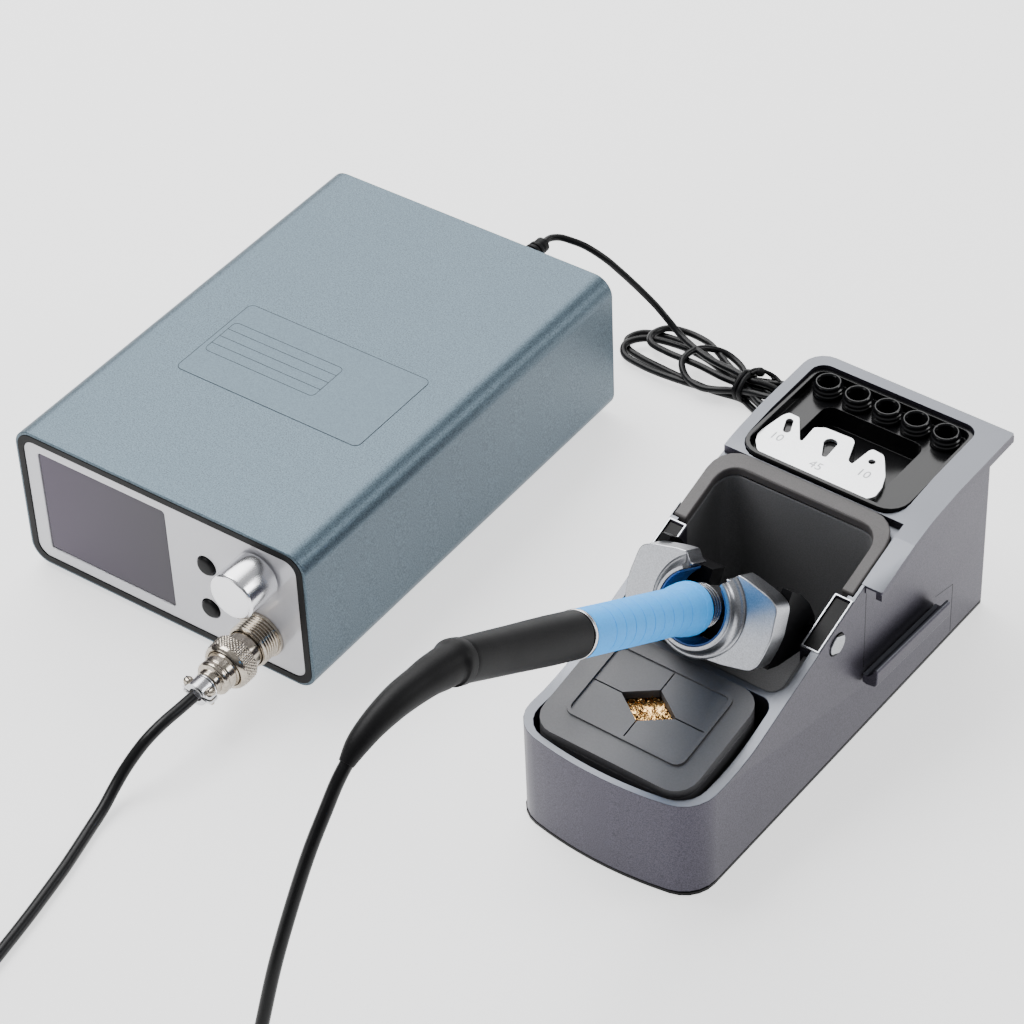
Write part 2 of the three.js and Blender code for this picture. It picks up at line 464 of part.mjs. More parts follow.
function holder() {
  const group = new THREE.Group();
  group.applyMatrix4(holderFrame);
  const outline = [...CUP_SIDE, ...CUP_SIDE.slice().reverse().map(([x, y]) => [-x, y])];
  piece(group, 'holder_cup', 'aluminium', cut(join(alongZ(outline, -CUP_DEPTH, 0), disc(16, -0.5, 0.9, 32),
    disc(13.6, 0, 4.6, 32)), disc(12.7, -20, 10, 32), slotTool(7.7, -20, 10)));
  piece(group, 'holder_lining', 'blueSilicone', cut(ring(11.7, 12.4, -CUP_DEPTH, 4.4, 32), slotTool(7.7, -20, 10)));
  const body = alongZ([[-22, -12.5], [22, -12.5], [23, -8], [23, 7], [20, 9], [-20, 9], [-23, 7], [-23, -8]], -20, -9.1);
  const ears = [-1, 1].map((s) => alongX([
    [14.2, -9.1], [12.9, -15.4], [8.4, -24.3], [3.6, -30.6], [-1.85, -34.8], [-6.5, -34.2], [-8.4, -29], [-12, -16],
    [-12.5, -9.1],
  ], s > 0 ? 21.3 : -25, s > 0 ? 25 : -21.3));
  const [py, pz] = [-1.85, -29.95];
  piece(group, 'holder_carrier', 'blackPlastic', cut(join(body, ...ears), disc(12.6, -12, 0, 32), disc(6.1, -30, 0, 24),
    alongZ([[-5, 0], [5, 0], [5, 20], [-5, 20]], -30, 0),
    onAxis(disc(2.35, -30, 30, 16), 'x', [0, py, pz])));
  return group;
}

function iron() {
  const group = new THREE.Group();
  group.applyMatrix4(holderFrame);
  piece(group, 'grip', 'blueGrip', turned([
    [2.9, 5.2], [8.3, 5.2], [8.7, 6], [8.7, 14], [7.7, 16], [7.5, 20], [7.6, 45], [7.6, 73.1], [2.9, 73.1], [2.9, 5.2],
  ]));
  piece(group, 'grip_nose', 'steel', turned([
    [2.9, 4.9], [7.6, 4.9], [7.6, 2.6], [6.9, 2.2], [6.6, -4], [5.4, -10], [4.6, -17], [2.9, -17], [2.9, 4.9],
  ]));
  piece(group, 'grip_ring', 'steel', turned([[0, 73.4], [7.6, 73.4], [7.6, 75], [0, 75]]));
  piece(group, 'barrel', 'blackRubber', turned([
    [0, 75.3], [7.5, 75.3], [7.5, 90], [7.1, 110], [6.7, 135], [6.2, 137], [0, 137],
  ]));
  piece(group, 'cartridge', 'steel', turned([
    [0, 70], [2.6, 70], [2.6, -34], [3.2, -35], [3.2, -41], [2.3, -43], [0.3, -52], [0, -52],
  ], 16));
  return group;
}

// Cable boot behind the barrel: tapered rings lofted along a bent centreline.
const BOOT_LINE = [
  [-66.41, 136.82, 14], [-69.62, 138.67, 14], [-70.4, 138.95, 12.3], [-74.8, 140, 12.1], [-83.7, 142, 10.6],
  [-92.5, 143.2, 9.8], [-99.2, 143.2, 8.9], [-105.9, 142.4, 7.9], [-111.8, 140.6, 6.8], [-116.9, 137.5, 5.5],
];

function boot() {
  const sides = 20;
  const points = BOOT_LINE.map(([y, z]) => new THREE.Vector3(STAND.centre, y, z));
  const vertices = [];
  const faces = [];
  BOOT_LINE.forEach(([, , d], i) => {
    const along = points[Math.min(i + 1, points.length - 1)].clone().sub(points[Math.max(i - 1, 0)]).normalize();
    const up = new THREE.Vector3(1, 0, 0).cross(along);
    for (let k = 0; k < sides; k += 1) {
      const t = (2 * Math.PI * k) / sides;
      const p = points[i].clone().addScaledVector(up, Math.sin(t) * d / 2);
      vertices.push(p.x + Math.cos(t) * d / 2, p.y, p.z);
    }
  });
  for (let i = 0; i + 1 < BOOT_LINE.length; i += 1) {
    for (let k = 0; k < sides; k += 1) {
      const [a, b] = [i * sides + k, i * sides + (k + 1) % sides];
      faces.push(a, b, a + sides, b, b + sides, a + sides);
    }
  }
  const last = (BOOT_LINE.length - 1) * sides;
  for (let k = 1; k + 1 < sides; k += 1) faces.push(0, k + 1, k, last, last + k, last + k + 1);
  const g = new THREE.BufferGeometry();
  g.setAttribute('position', new THREE.BufferAttribute(new Float32Array(vertices), 3));
  g.setIndex(faces);
  return g;
}

function cleaningBox(stand) {
  const plan = (inset) => rounded(217 + inset, 276.2 - inset, 1.4 + inset, 45.4 - inset, 8 - inset);
  const slope = (z0, drop) => alongX([[-5, z0 - 60], [50, z0 - 60], [50, z0 + 10.5 - drop], [-5, z0 - drop]], 200, 300);
  piece(stand, 'cleaning_box', 'silicone', cut(common(alongZ(plan(0), 3.5, 60), slope(40.6, 3.4)),
    alongZ(plan(2), 5.5, 70)));
  const ridge = common(cut(alongZ(rounded(223.8, 268.8, 9.8, 40.6, 3.4), 20, 70),
    alongZ(rounded(225, 267.6, 11, 39.4, 2.4), 20, 70)), slope(41.4, 0));
  // Four flaps meet at a diamond hole; a slit runs from each of its corners to the ridge.
  const diamond = alongZ([[235.6, 25], [246.2, 18.2], [256.8, 25], [246.2, 31.8]], 20, 70);
  const slits = [block(225.2, 267.4, 24.75, 25.25, 20, 70), block(245.95, 246.45, 11.2, 39.2, 20, 70)];
  piece(stand, 'box_lid', 'silicone', cut(join(cut(common(alongZ(plan(0), 30, 60), slope(40.6, 0)), slope(40.6, 3.1)),
    cut(ridge, slope(40.6, 1))), diamond, ...slits));
  piece(stand, 'brass_wool', 'brass', common(alongZ(rounded(220, 273.2, 4.4, 42.4, 6), 6, 60), slope(40.6, 4.4)));
}

function standGroup() {
  const stand = new THREE.Group();
  standShell(stand);
  coverPlate(stand);
  cavityLiner(stand);
  linerRim(stand);
  tipTray(stand);
  tipBushes(stand);
  pullerPlate(stand);
  sideRail(stand);
  pivotBlocks(stand);
  stand.add(holder());
  cleaningBox(stand);
  piece(stand, 'sleep_socket', 'blackPlastic', onAxis(turned([
    [0, 166], [2.8, 166], [2.8, 170.1], [4.6, 170.1], [4.6, 174], [3.4, 175], [2.6, 182], [0, 182],
  ], 20), 'y', [232, 0, 10]));
  return stand;
}

// ---- leads ----
const LEAD_FROM_PLUG = [
  [104.93, -34.1, 18.3], [104.9, -41, 18.3], [104.6, -48.7, 18], [103.85, -55.6, 16.2], [102.8, -61, 12.9],
  [102.1, -66.3, 9.2], [102.3, -71.6, 6.2], [103.6, -79.1, 3.4], [105.3, -87.4, 2.2], [108.2, -97.9, 2.1],
  [110.4, -106.2, 2.1], [112.7, -116.4, 2.1], [114.6, -125.2, 2.1], [116.3, -133.8, 2.1], [117.9, -142.5, 2.1],
  [121.4, -160, 2.1], [128, -178, 2.1], [139, -195, 2.1], [151, -207, 2.1], [166.8, -215, 2.1],
];
const LEAD_TO_IRON = [
  [210.6, -218.8, 5.2], [220, -221.5, 3.2], [229.5, -222.6, 2.2], [239, -219.5, 2.1], [244.8, -212.5, 2.1],
  [246.4, -203.5, 2.3], [246.4, -195.5, 4.6], [246.4, -188.4, 10], [246.4, -182.4, 19.5], [246.4, -177, 32],
  [246.4, -171.2, 47], [246.4, -165.8, 60], [246.4, -161, 71.2], [246.4, -153.2, 88.6], [246.4, -143.9, 104.8],
  [246.4, -134.6, 118.6], [246.4, -127.1, 127.3], [246.4, -120.7, 134.3], [246.4, -117.2, 137.3],
];
const LEAD_COIL = { x: 190, y: -190, inner: 17.7, outer: 31.4, height: 8.4 };
const SLEEP_FROM_UNIT = [
  [77.92, 196.6, 49], [77.9, 200, 48.9], [80, 203.6, 48], [83.5, 206.1, 46.4], [87.5, 209, 43.8],
  [93.6, 213, 38], [97.3, 215.7, 33], [101.2, 218.4, 27.5], [104.8, 221, 22], [108.9, 223.1, 16.5],
  [113.9, 223.7, 11.6], [119.9, 222.5, 8.5], [126.4, 220.7, 7.4], [133.7, 218.7, 7.2], [141, 217.7, 7.2],
  [147.7, 217.4, 7.2], [155, 216.6, 7.2], [163, 217.4, 7],
];
const SLEEP_HANK = { x0: 100.4, x1: 172.4, y0: 204, y1: 231.4, height: 5 };
const SLEEP_TO_STAND = [
  [173, 219.2, 1.3], [177, 220.2, 1.2], [184, 221.5, 1.2], [198, 221, 1.2], [211, 215.5, 1.2],
  [222, 206, 1.3], [228, 198.5, 2.8], [231.2, 192.5, 6], [232, 187.5, 9], [232, 182.4, 10],
];

function leads() {
  const group = new THREE.Group();
  piece(group, 'iron_lead_plug_run', 'cord', cordTube(LEAD_FROM_PLUG, LEAD_D, 32));
  piece(group, 'iron_lead_coil', 'cord', onAxis(ring(LEAD_COIL.inner, LEAD_COIL.outer, 0.05, LEAD_COIL.height, 32), 'z',
    [LEAD_COIL.x, LEAD_COIL.y, 0]));
  piece(group, 'iron_lead_handle_run', 'cord', cordTube(LEAD_TO_IRON, LEAD_D, 36));
  piece(group, 'sleep_cable_run', 'cord', cordTube(SLEEP_FROM_UNIT, SLEEP_D, 28));
  piece(group, 'sleep_cable_hank', 'cord', alongZ(rounded(SLEEP_HANK.x0, SLEEP_HANK.x1, SLEEP_HANK.y0, SLEEP_HANK.y1, 12,
    6), 0.05, SLEEP_HANK.height));
  piece(group, 'sleep_cable_end_run', 'cord', cordTube(SLEEP_TO_STAND, SLEEP_D, 26));
  return group;
}

// ---- assembly ----
// The origin is the middle of the base, under the box of everything but the leads.
const rigid = new THREE.Group();
const ironGroup = iron();
rigid.add(mainUnit(), standGroup(), ironGroup);
piece(rigid, 'boot', 'blackRubber', boot());
rigid.updateMatrixWorld(true);
const bounds = new THREE.Box3().setFromObject(rigid, true);
const station = new THREE.Group();
station.add(rigid, leads());
station.position.set(-(bounds.min.x + bounds.max.x) / 2, -(bounds.min.y + bounds.max.y) / 2, -bounds.min.z);
station.updateMatrixWorld(true);

export default station;
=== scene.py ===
"""Soldering iron station: the looks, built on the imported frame.

Lengths are in millimetres until a piece is placed."""
import bpy
import bmesh
import json
import math
import random
from mathutils import Matrix, Vector


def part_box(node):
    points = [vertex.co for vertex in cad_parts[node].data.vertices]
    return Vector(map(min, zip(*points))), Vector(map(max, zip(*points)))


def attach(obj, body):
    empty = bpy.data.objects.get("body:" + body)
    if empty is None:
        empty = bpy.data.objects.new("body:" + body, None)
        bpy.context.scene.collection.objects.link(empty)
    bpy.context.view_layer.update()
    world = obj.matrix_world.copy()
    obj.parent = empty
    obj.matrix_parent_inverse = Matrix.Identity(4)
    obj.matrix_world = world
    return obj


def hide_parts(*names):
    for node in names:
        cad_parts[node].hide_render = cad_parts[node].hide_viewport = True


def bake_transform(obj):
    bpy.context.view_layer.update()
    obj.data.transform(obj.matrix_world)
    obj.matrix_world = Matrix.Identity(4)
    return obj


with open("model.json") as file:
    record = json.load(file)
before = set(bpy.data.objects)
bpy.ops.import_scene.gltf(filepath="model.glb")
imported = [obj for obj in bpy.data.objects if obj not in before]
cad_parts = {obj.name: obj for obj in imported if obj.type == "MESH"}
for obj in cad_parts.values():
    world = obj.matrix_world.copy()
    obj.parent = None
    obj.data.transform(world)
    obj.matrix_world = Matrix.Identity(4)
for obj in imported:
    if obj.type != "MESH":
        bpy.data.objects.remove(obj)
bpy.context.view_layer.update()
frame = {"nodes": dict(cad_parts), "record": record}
MM = 0.001

# ---- frames ----
# The design frame has the main unit's front left corner at its origin; the stand's right wall and back
# wall give its place in the row frame.
STAND_RIGHT, STAND_BACK = 282.15, 169.8
stand_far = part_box("stand_shell")[1]
DESIGN = (Matrix.Translation((stand_far.x - STAND_RIGHT * MM, stand_far.y - STAND_BACK * MM, 0))
          @ Matrix.Scale(MM, 4))
# The main unit stands slightly turned.
UNIT_TURN = math.radians(1.492)
UNIT = DESIGN @ Matrix.Rotation(UNIT_TURN, 4, "Z")
# The holder's frame starts at the face of its cup, with its z axis along the iron towards the boot.
STAND_X = 246.4
SEAT = (STAND_X, 52.42, 68.04)
RISE = math.radians(30.06)
TILTED = Matrix(((1, 0, 0, 0),
                 (0, math.sin(RISE), -math.cos(RISE), 0),
                 (0, math.cos(RISE), math.sin(RISE), 0),
                 (0, 0, 0, 1)))
HOLDER = DESIGN @ Matrix.Translation(SEAT) @ TILTED


def at(x, y, z, space=DESIGN):
    return space @ Vector((x, y, z))


# ---- camera ----
CAMERA_AT = (722.90, -633.68, 839.21)
CAMERA_YAW, CAMERA_PITCH, CAMERA_ROLL = 38.714, 41.156, -2.633
FOCAL_LENGTH, SENSOR = 127.05, 36


def photo_camera():
    yaw, pitch, roll = (math.radians(v) for v in (CAMERA_YAW, CAMERA_PITCH, CAMERA_ROLL))
    back = Vector((math.sin(yaw) * math.cos(pitch), -math.cos(yaw) * math.cos(pitch), math.sin(pitch)))
    level = Vector((math.cos(yaw), math.sin(yaw), 0))
    upright = back.cross(level)
    right = math.cos(roll) * level + math.sin(roll) * upright
    up = math.cos(roll) * upright - math.sin(roll) * level
    cam = bpy.data.objects.new("camera", bpy.data.cameras.new("camera"))
    cam.data.lens, cam.data.sensor_width = FOCAL_LENGTH, SENSOR
    cam.data.clip_start, cam.data.clip_end = 0.05, 20
    place = Matrix((right, up, back)).transposed().to_4x4()
    place.translation = at(*CAMERA_AT)
    cam.matrix_world = place
    bpy.context.scene.collection.objects.link(cam)
    bpy.context.scene.camera = cam


photo_camera()


# ---- materials ----
def new_material(name, color, rough, metal=0.0, **sockets):
    """A Principled material; extra sockets by name, such as Coat_Weight=0.5."""
    m = bpy.data.materials.new(name)
    m.use_nodes = True
    p = m.node_tree.nodes["Principled BSDF"]
    p.inputs["Base Color"].default_value = (*color, 1)
    p.inputs["Roughness"].default_value = rough
    p.inputs["Metallic"].default_value = metal
    for key, value in sockets.items():
        p.inputs[key.replace("_", " ")].default_value = value
    return m


def node(m, kind, **values):
    n = m.node_tree.nodes.new(kind)
    for key, value in values.items():
        if key in n.inputs:
            n.inputs[key].default_value = value
        else:
            setattr(n, key, value)
    return n


def moved_coords(m, location, rotation=(0, 0, 0), scale=(1, 1, 1)):
    """Object coordinates, turned, scaled and shifted."""
    mapping = node(m, "ShaderNodeMapping", Location=location, Rotation=rotation, Scale=scale)
    m.node_tree.links.new(node(m, "ShaderNodeTexCoord").outputs["Object"], mapping.inputs["Vector"])
    return mapping.outputs["Vector"]


def noise(m, size_mm, detail):
    """Noise whose features are about size_mm across."""
    n = node(m, "ShaderNodeTexNoise", Scale=1 / MM / size_mm, Detail=detail)
    m.node_tree.links.new(node(m, "ShaderNodeTexCoord").outputs["Object"], n.inputs["Vector"])
    return n.outputs["Fac"]


def mottle(m, source, dark, light, low=0.35, high=0.65):
    """Base colour that runs from dark to light with a 0 to 1 source."""
    ramp = node(m, "ShaderNodeValToRGB")
    ramp.color_ramp.elements[0].position, ramp.color_ramp.elements[1].position = low, high
    ramp.color_ramp.elements[0].color, ramp.color_ramp.elements[1].color = (*dark, 1), (*light, 1)
    m.node_tree.links.new(source, ramp.inputs["Fac"])
    m.node_tree.links.new(ramp.outputs["Color"], m.node_tree.nodes["Principled BSDF"].inputs["Base Color"])


def roughen(m, source, low, high):
    """Roughness that runs from low to high with the middle of a 0 to 1 source."""
    spread = node(m, "ShaderNodeMapRange")
    spread.inputs["From Min"].default_value, spread.inputs["From Max"].default_value = 0.3, 0.7
    spread.inputs["To Min"].default_value, spread.inputs["To Max"].default_value = low, high
    m.node_tree.links.new(source, spread.inputs["Value"])
    m.node_tree.links.new(spread.outputs["Result"], m.node_tree.nodes["Principled BSDF"].inputs["Roughness"])


def bump(m, source, depth_mm, strength=1.0):
    b = node(m, "ShaderNodeBump", Strength=strength, Distance=depth_mm * MM)
    m.node_tree.links.new(source, b.inputs["Height"])
    m.node_tree.links.new(b.outputs["Normal"], m.node_tree.nodes["Principled BSDF"].inputs["Normal"])


PATCH_MM = 18


def grained(name, color, rough, metal, grain_mm, depth_mm, contrast=0.12, wear=0.08, **sockets):
    """Fine grain in colour and bump, over slow patches in roughness."""
    m = new_material(name, color, rough, metal, **sockets)
    fine = noise(m, grain_mm, 2)
    mottle(m, fine, [c * (1 - contrast) for c in color], [c * (1 + contrast) for c in color])
    bump(m, fine, depth_mm)
    roughen(m, noise(m, PATCH_MM, 4), rough * (1 - wear), rough * (1 + wear))
    return m


def painted_top_light(m, color):
    """Painted top light: upward faces run to another colour, as the normal's z goes from low to high."""
    low, high = 0.55, 0.9
    principled = m.node_tree.nodes["Principled BSDF"]
    split, top_light_mask = node(m, "ShaderNodeSeparateXYZ"), node(m, "ShaderNodeMapRange")
    top_light_mask.inputs["From Min"].default_value, top_light_mask.inputs["From Max"].default_value = low, high
    top_light_mix = node(m, "ShaderNodeMixRGB", Color2=(*color, 1))
    link = m.node_tree.links.new
    link(principled.inputs["Base Color"].links[0].from_socket, top_light_mix.inputs["Color1"])
    link(node(m, "ShaderNodeTexCoord").outputs["Normal"], split.inputs["Vector"])
    link(split.outputs["Z"], top_light_mask.inputs["Value"])
    link(top_light_mask.outputs["Result"], top_light_mix.inputs["Fac"])
    link(top_light_mix.outputs["Color"], principled.inputs["Base Color"])
    return m


def display_glass_painted_reflection():
    """Dark glass that runs from a lilac grey at its left to a slightly darker grey at its right; the lighter
    left is a painted reflection.
    """
    m = new_material("display_glass_painted_reflection", (0.03, 0.026, 0.034), 0.12, Specular_IOR_Level=0.2)
    painted_reflection_fade = node(m, "ShaderNodeTexGradient")
    low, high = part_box("screen_window")
    wide = high.x - low.x
    across = moved_coords(m, (-low.x / wide, 0, 0), scale=(1 / wide, 1, 1))
    m.node_tree.links.new(across, painted_reflection_fade.inputs["Vector"])
    mottle(m, painted_reflection_fade.outputs["Color"], (0.068, 0.052, 0.082), (0.05, 0.045, 0.056), 0.0, 1.0)
    return m


def stand_paint():
    paint = grained("metallic_paint_painted_top_light", (0.058, 0.054, 0.071), 0.36, 0.7, 0.4, 0.02, 0.3, wear=0.03,
                    Specular_IOR_Level=0.3)
    # The stand's upward faces are painted lighter than its sides: a painted top light, for the light that
    # falls on them from above.
    return painted_top_light(paint, (0.145, 0.152, 0.17))


SLEEVE_COLOR = (0.078, 0.114, 0.142)


def material_set():
    """One material for each slot. After the colour: roughness, metal, grain and depth in mm, contrast."""
    return {
        "sleeve_metal": grained("anodised_sleeve", SLEEVE_COLOR, 0.42, 0.6, 0.45, 0.03, 0.38, wear=0.02),
        "stand_paint": stand_paint(),
        "panel_face": grained("panel_lacquer", (0.52, 0.52, 0.55), 0.3, 0.2, 0.5, 0.002, 0.02,
                              Coat_Weight=1.0, Coat_Roughness=0.05),
        "display": display_glass_painted_reflection(),
        "black_rubber": grained("black_rubber", (0.0045, 0.0045, 0.005), 0.5, 0, 0.5, 0.02, 0.2,
                                Specular_IOR_Level=0.14),
        "black_plastic": grained("black_plastic", (0.0035, 0.0035, 0.004), 0.4, 0, 0.4, 0.008, 0.2,
                                 Specular_IOR_Level=0.12),
        "gloss_black": grained("gloss_black", (0.004, 0.004, 0.0045), 0.2, 0, 1.5, 0.003, 0.1,
                               Specular_IOR_Level=0.3),
        "circuit_board": grained("circuit_board", (0.02, 0.13, 0.06), 0.45, 0, 2.5, 0.02, 0.4),
        "steel": grained("steel", (0.6, 0.6, 0.61), 0.26, 1, 0.4, 0.01, 0.08),
        "bright_metal": grained("satin_aluminium", (0.4, 0.41, 0.435), 0.29, 1, 0.4, 0.015, 0.16, wear=0.04),
        "nickel": grained("nickel_plate", (0.42, 0.375, 0.315), 0.17, 1, 0.8, 0.006, 0.1),
        "brass": grained("brass", (0.55, 0.34, 0.13), 0.22, 1, 0.6, 0.02, 0.35),
        "grey_plastic": grained("grey_plastic", (0.078, 0.073, 0.073), 0.45, 0, 0.5, 0.012, 0.08,
                                Specular_IOR_Level=0.3),
        "silicone": grained("grey_silicone", (0.061, 0.06, 0.064), 0.55, 0, 0.6, 0.008, 0.06),
        "grip_blue": grained("grip_rubber", (0.016, 0.39, 1.0), 0.6, 0, 0.9, 0.04, 0.05, Sheen_Weight=0.06,
                             Sheen_Roughness=0.5),
        "lining_blue": grained("lining_silicone", (0.02, 0.085, 0.26), 0.45, 0, 0.8, 0.01, 0.08),
        "cord_sheath": grained("cord_sheath", (0.0045, 0.0045, 0.005), 0.34, 0, 0.8, 0.006, 0.15,
                               Specular_IOR_Level=0.2),
        "supply_case": grained("supply_case", (0.4, 0.41, 0.42), 0.4, 0.9, 1.2, 0.01, 0.1),
    }


MATS = material_set()
LINER = grained("dark_liner", (0.13, 0.13, 0.134), 0.45, 0, 0.5, 0.012)
ENGRAVED = grained("engraving", (0.33, 0.34, 0.36), 0.5, 0.6, 0.3, 0.01)
SLOT_OF = {s["node"]: s["material_slot"] for s in frame["record"]["subparts"]}
BODY_OF = {n: body for body, names in frame["record"]["behaviour"]["bodies"].items() for n in names}


# ---- placing ----
REPLACED = set()


def stands_for(obj, *nodes):
    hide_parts(*nodes)
    REPLACED.update(nodes)


def add_object(name, data, slot, body, material=None):
    obj = bpy.data.objects.new(name, data)
    bpy.context.scene.collection.objects.link(obj)
    data.materials.clear()
    data.materials.append(material or MATS[slot])
    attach(obj, body)
    return obj


def shade(mesh, degrees=32):
    mesh.shade_smooth()
    mesh.set_sharp_from_angle(angle=math.radians(degrees))


def soften_edges(obj, width_mm):
    mod = obj.modifiers.new("edges", "BEVEL")
    mod.width, mod.segments = width_mm * MM, 3
    mod.limit_method, mod.angle_limit = "ANGLE", math.radians(30)
    mod.harden_normals, mod.use_clamp_overlap = True, True
    mod.miter_outer = "MITER_ARC"


def placed(name, mesh, space, like, edges=0.0, slot=None, body=None, material=None, degrees=32):
    """A mesh made in millimetres in a space, standing for the CAD nodes in like."""
    like = [like] if isinstance(like, str) else list(like)
    mesh.transform(space)
    shade(mesh, degrees)
    obj = add_object(name, mesh, slot or SLOT_OF[like[0]], body or BODY_OF[like[0]], material)
    if edges:
        soften_edges(obj, edges)
    else:
        flatten = obj.modifiers.new("flatten", "WEIGHTED_NORMAL")
        flatten.keep_sharp, flatten.weight = True, 100
    if like:
        stands_for(obj, *like)
    return obj


WELD, FLAT = 2e-6, math.radians(1.5)


def refined(name, edges=0.3, material=None):
    """The CAD node's own shape, welded, with its flat faces merged and its edges rounded."""
    source = frame["nodes"][name].data
    bm = bmesh.new()
    bm.from_mesh(source)
    bmesh.ops.remove_doubles(bm, verts=bm.verts, dist=WELD)
    bmesh.ops.dissolve_limit(bm, angle_limit=FLAT, verts=bm.verts, edges=bm.edges)
    mesh = bpy.data.meshes.new(name + "_fine")
    bm.to_mesh(mesh)
    bm.free()
    shade(mesh)
    obj = add_object(name + "_fine", mesh, SLOT_OF[name], BODY_OF[name], material)
    soften_edges(obj, edges)
    stands_for(obj, name)
    return obj


# ---- shapes ----
WELD_MM = 1e-4


def arc(cx, cy, r, start, end, steps):
    angles = [math.radians(start + (end - start) * i / steps) for i in range(steps + 1)]
    return [(cx + r * math.cos(a), cy + r * math.sin(a)) for a in angles]


def rounded(x0, x1, y0, y1, r, steps=12):
    """A rectangle with round corners."""
    return (arc(x0 + r, y0 + r, r, 180, 270, steps) + arc(x1 - r, y0 + r, r, 270, 360, steps)
            + arc(x1 - r, y1 - r, r, 0, 90, steps) + arc(x0 + r, y1 - r, r, 90, 180, steps))


def circle(x, y, r, steps=48):
    return arc(x, y, r, 0, 360, steps)[:-1]


AXES = {"z": Matrix.Identity(4),
        "y": Matrix(((1, 0, 0, 0), (0, 0, -1, 0), (0, 1, 0, 0), (0, 0, 0, 1))),
        "x": Matrix(((0, 0, 1, 0), (1, 0, 0, 0), (0, 1, 0, 0), (0, 0, 0, 1)))}


def plate(loops, low, high, axis="z", edge=0.3, steps=3):
    """A flat piece with rounded edges, from low to high along the axis.

    The loops are its outline and holes, in (x, y), (x, z) or (y, z)."""
    curve = bpy.data.curves.new("plate", "CURVE")
    curve.dimensions, curve.fill_mode = "2D", "BOTH"
    curve.extrude = (high - low) / 2 - edge
    curve.bevel_depth, curve.offset, curve.bevel_resolution = edge, -edge, steps
    for loop in loops:
        spline = curve.splines.new("POLY")
        spline.points.add(len(loop) - 1)
        for point, (x, y) in zip(spline.points, loop):
            point.co = (x, y, 0, 1)
        spline.use_cyclic_u = True
    obj = bpy.data.objects.new("plate", curve)
    bpy.context.scene.collection.objects.link(obj)
    mesh = bpy.data.meshes.new_from_object(obj.evaluated_get(bpy.context.evaluated_depsgraph_get()))
    bpy.data.objects.remove(obj)
    mid = (low + high) / 2
    mesh.transform(AXES[axis] @ Matrix.Translation((0, 0, -mid if axis == "y" else mid)))
    bm = bmesh.new()
    bm.from_mesh(mesh)
    bmesh.ops.remove_doubles(bm, verts=bm.verts, dist=WELD_MM)
    bm.to_mesh(mesh)
    bm.free()
    return mesh


def turned(profile, steps=96, axis="z", centre=(0, 0, 0), edge=0.25, span=None, ripple=None):
    """A turned piece of a profile of (radius, height), each corner eased by edge.

    span gives the angles of a part turn of a closed profile, and ripple(angle, height) is added to the
    radius."""
    points = []
    last = len(profile) - 1
    for i, (r, z) in enumerate(profile):
        p = Vector((r, z))
        if (0 < i < last or span) and edge:
            before, after = Vector(profile[i - 1]) - p, Vector(profile[(i + 1) % len(profile)]) - p
            cut = min(edge, before.length * 0.4, after.length * 0.4)
            if before.length > 1e-6 and after.length > 1e-6 and before.angle(after) < math.radians(165):
                a, b = p + before.normalized() * cut, p + after.normalized() * cut
                points += [a, (a + 2 * p + b) / 4, b]
                continue
        points.append(p)
    start, end = (math.radians(v) for v in (span or (0, 360)))
    angles = [start + (end - start) * k / steps for k in range(steps + (1 if span else 0))]
    bm = bmesh.new()
    rings = []
    for p in points:
        if p.x < 1e-6:
            rings.append([bm.verts.new((0, 0, p.y))] * len(angles))
            continue
        radii = [p.x + (ripple(a, p.y) if ripple else 0) for a in angles]
        rings.append([bm.verts.new((r * math.cos(a), r * math.sin(a), p.y)) for r, a in zip(radii, angles)])
    if span:
        rings.append(rings[0])
    for a, b in zip(rings, rings[1:]):
        for k in range(steps):
            n = (k + 1) % len(angles)
            corners = list(dict.fromkeys([a[k], a[n], b[n], b[k]]))
            if len(corners) > 2:
                bm.faces.new(corners)
    if span:
        bm.faces.new([ring[0] for ring in rings[:-1]])
        bm.faces.new([ring[-1] for ring in rings[:-1]])
    bmesh.ops.remove_doubles(bm, verts=bm.verts, dist=WELD_MM)
    bmesh.ops.recalc_face_normals(bm, faces=bm.faces)
    mesh = bpy.data.meshes.new("turned")
    bm.to_mesh(mesh)
    bm.free()
    turn = {"z": Matrix.Identity(4), "y": Matrix.Rotation(-math.pi / 2, 4, "X"),
            "x": Matrix.Rotation(math.pi / 2, 4, "Y")}[axis]
    mesh.transform(Matrix.Translation(centre) @ turn)
    return mesh


def prism(loop, low, high, axis="z"):
    """A loop of points in (x, y) or (y, z), straight from low to high along the axis."""
    bm = bmesh.new()
    rings = [[bm.verts.new((x, y, z)) for x, y in loop] for z in (low, high)]
    bm.faces.new(rings[0])
    bm.faces.new(rings[1])
    for k in range(len(loop)):
        n = (k + 1) % len(loop)
        bm.faces.new((rings[0][k], rings[0][n], rings[1][n], rings[1][k]))
    mesh = bpy.data.meshes.new("prism")
    bmesh.ops.transform(bm, matrix=AXES[axis], verts=bm.verts)
    bmesh.ops.recalc_face_normals(bm, faces=bm.faces)
    bm.to_mesh(mesh)
    bm.free()
    return mesh


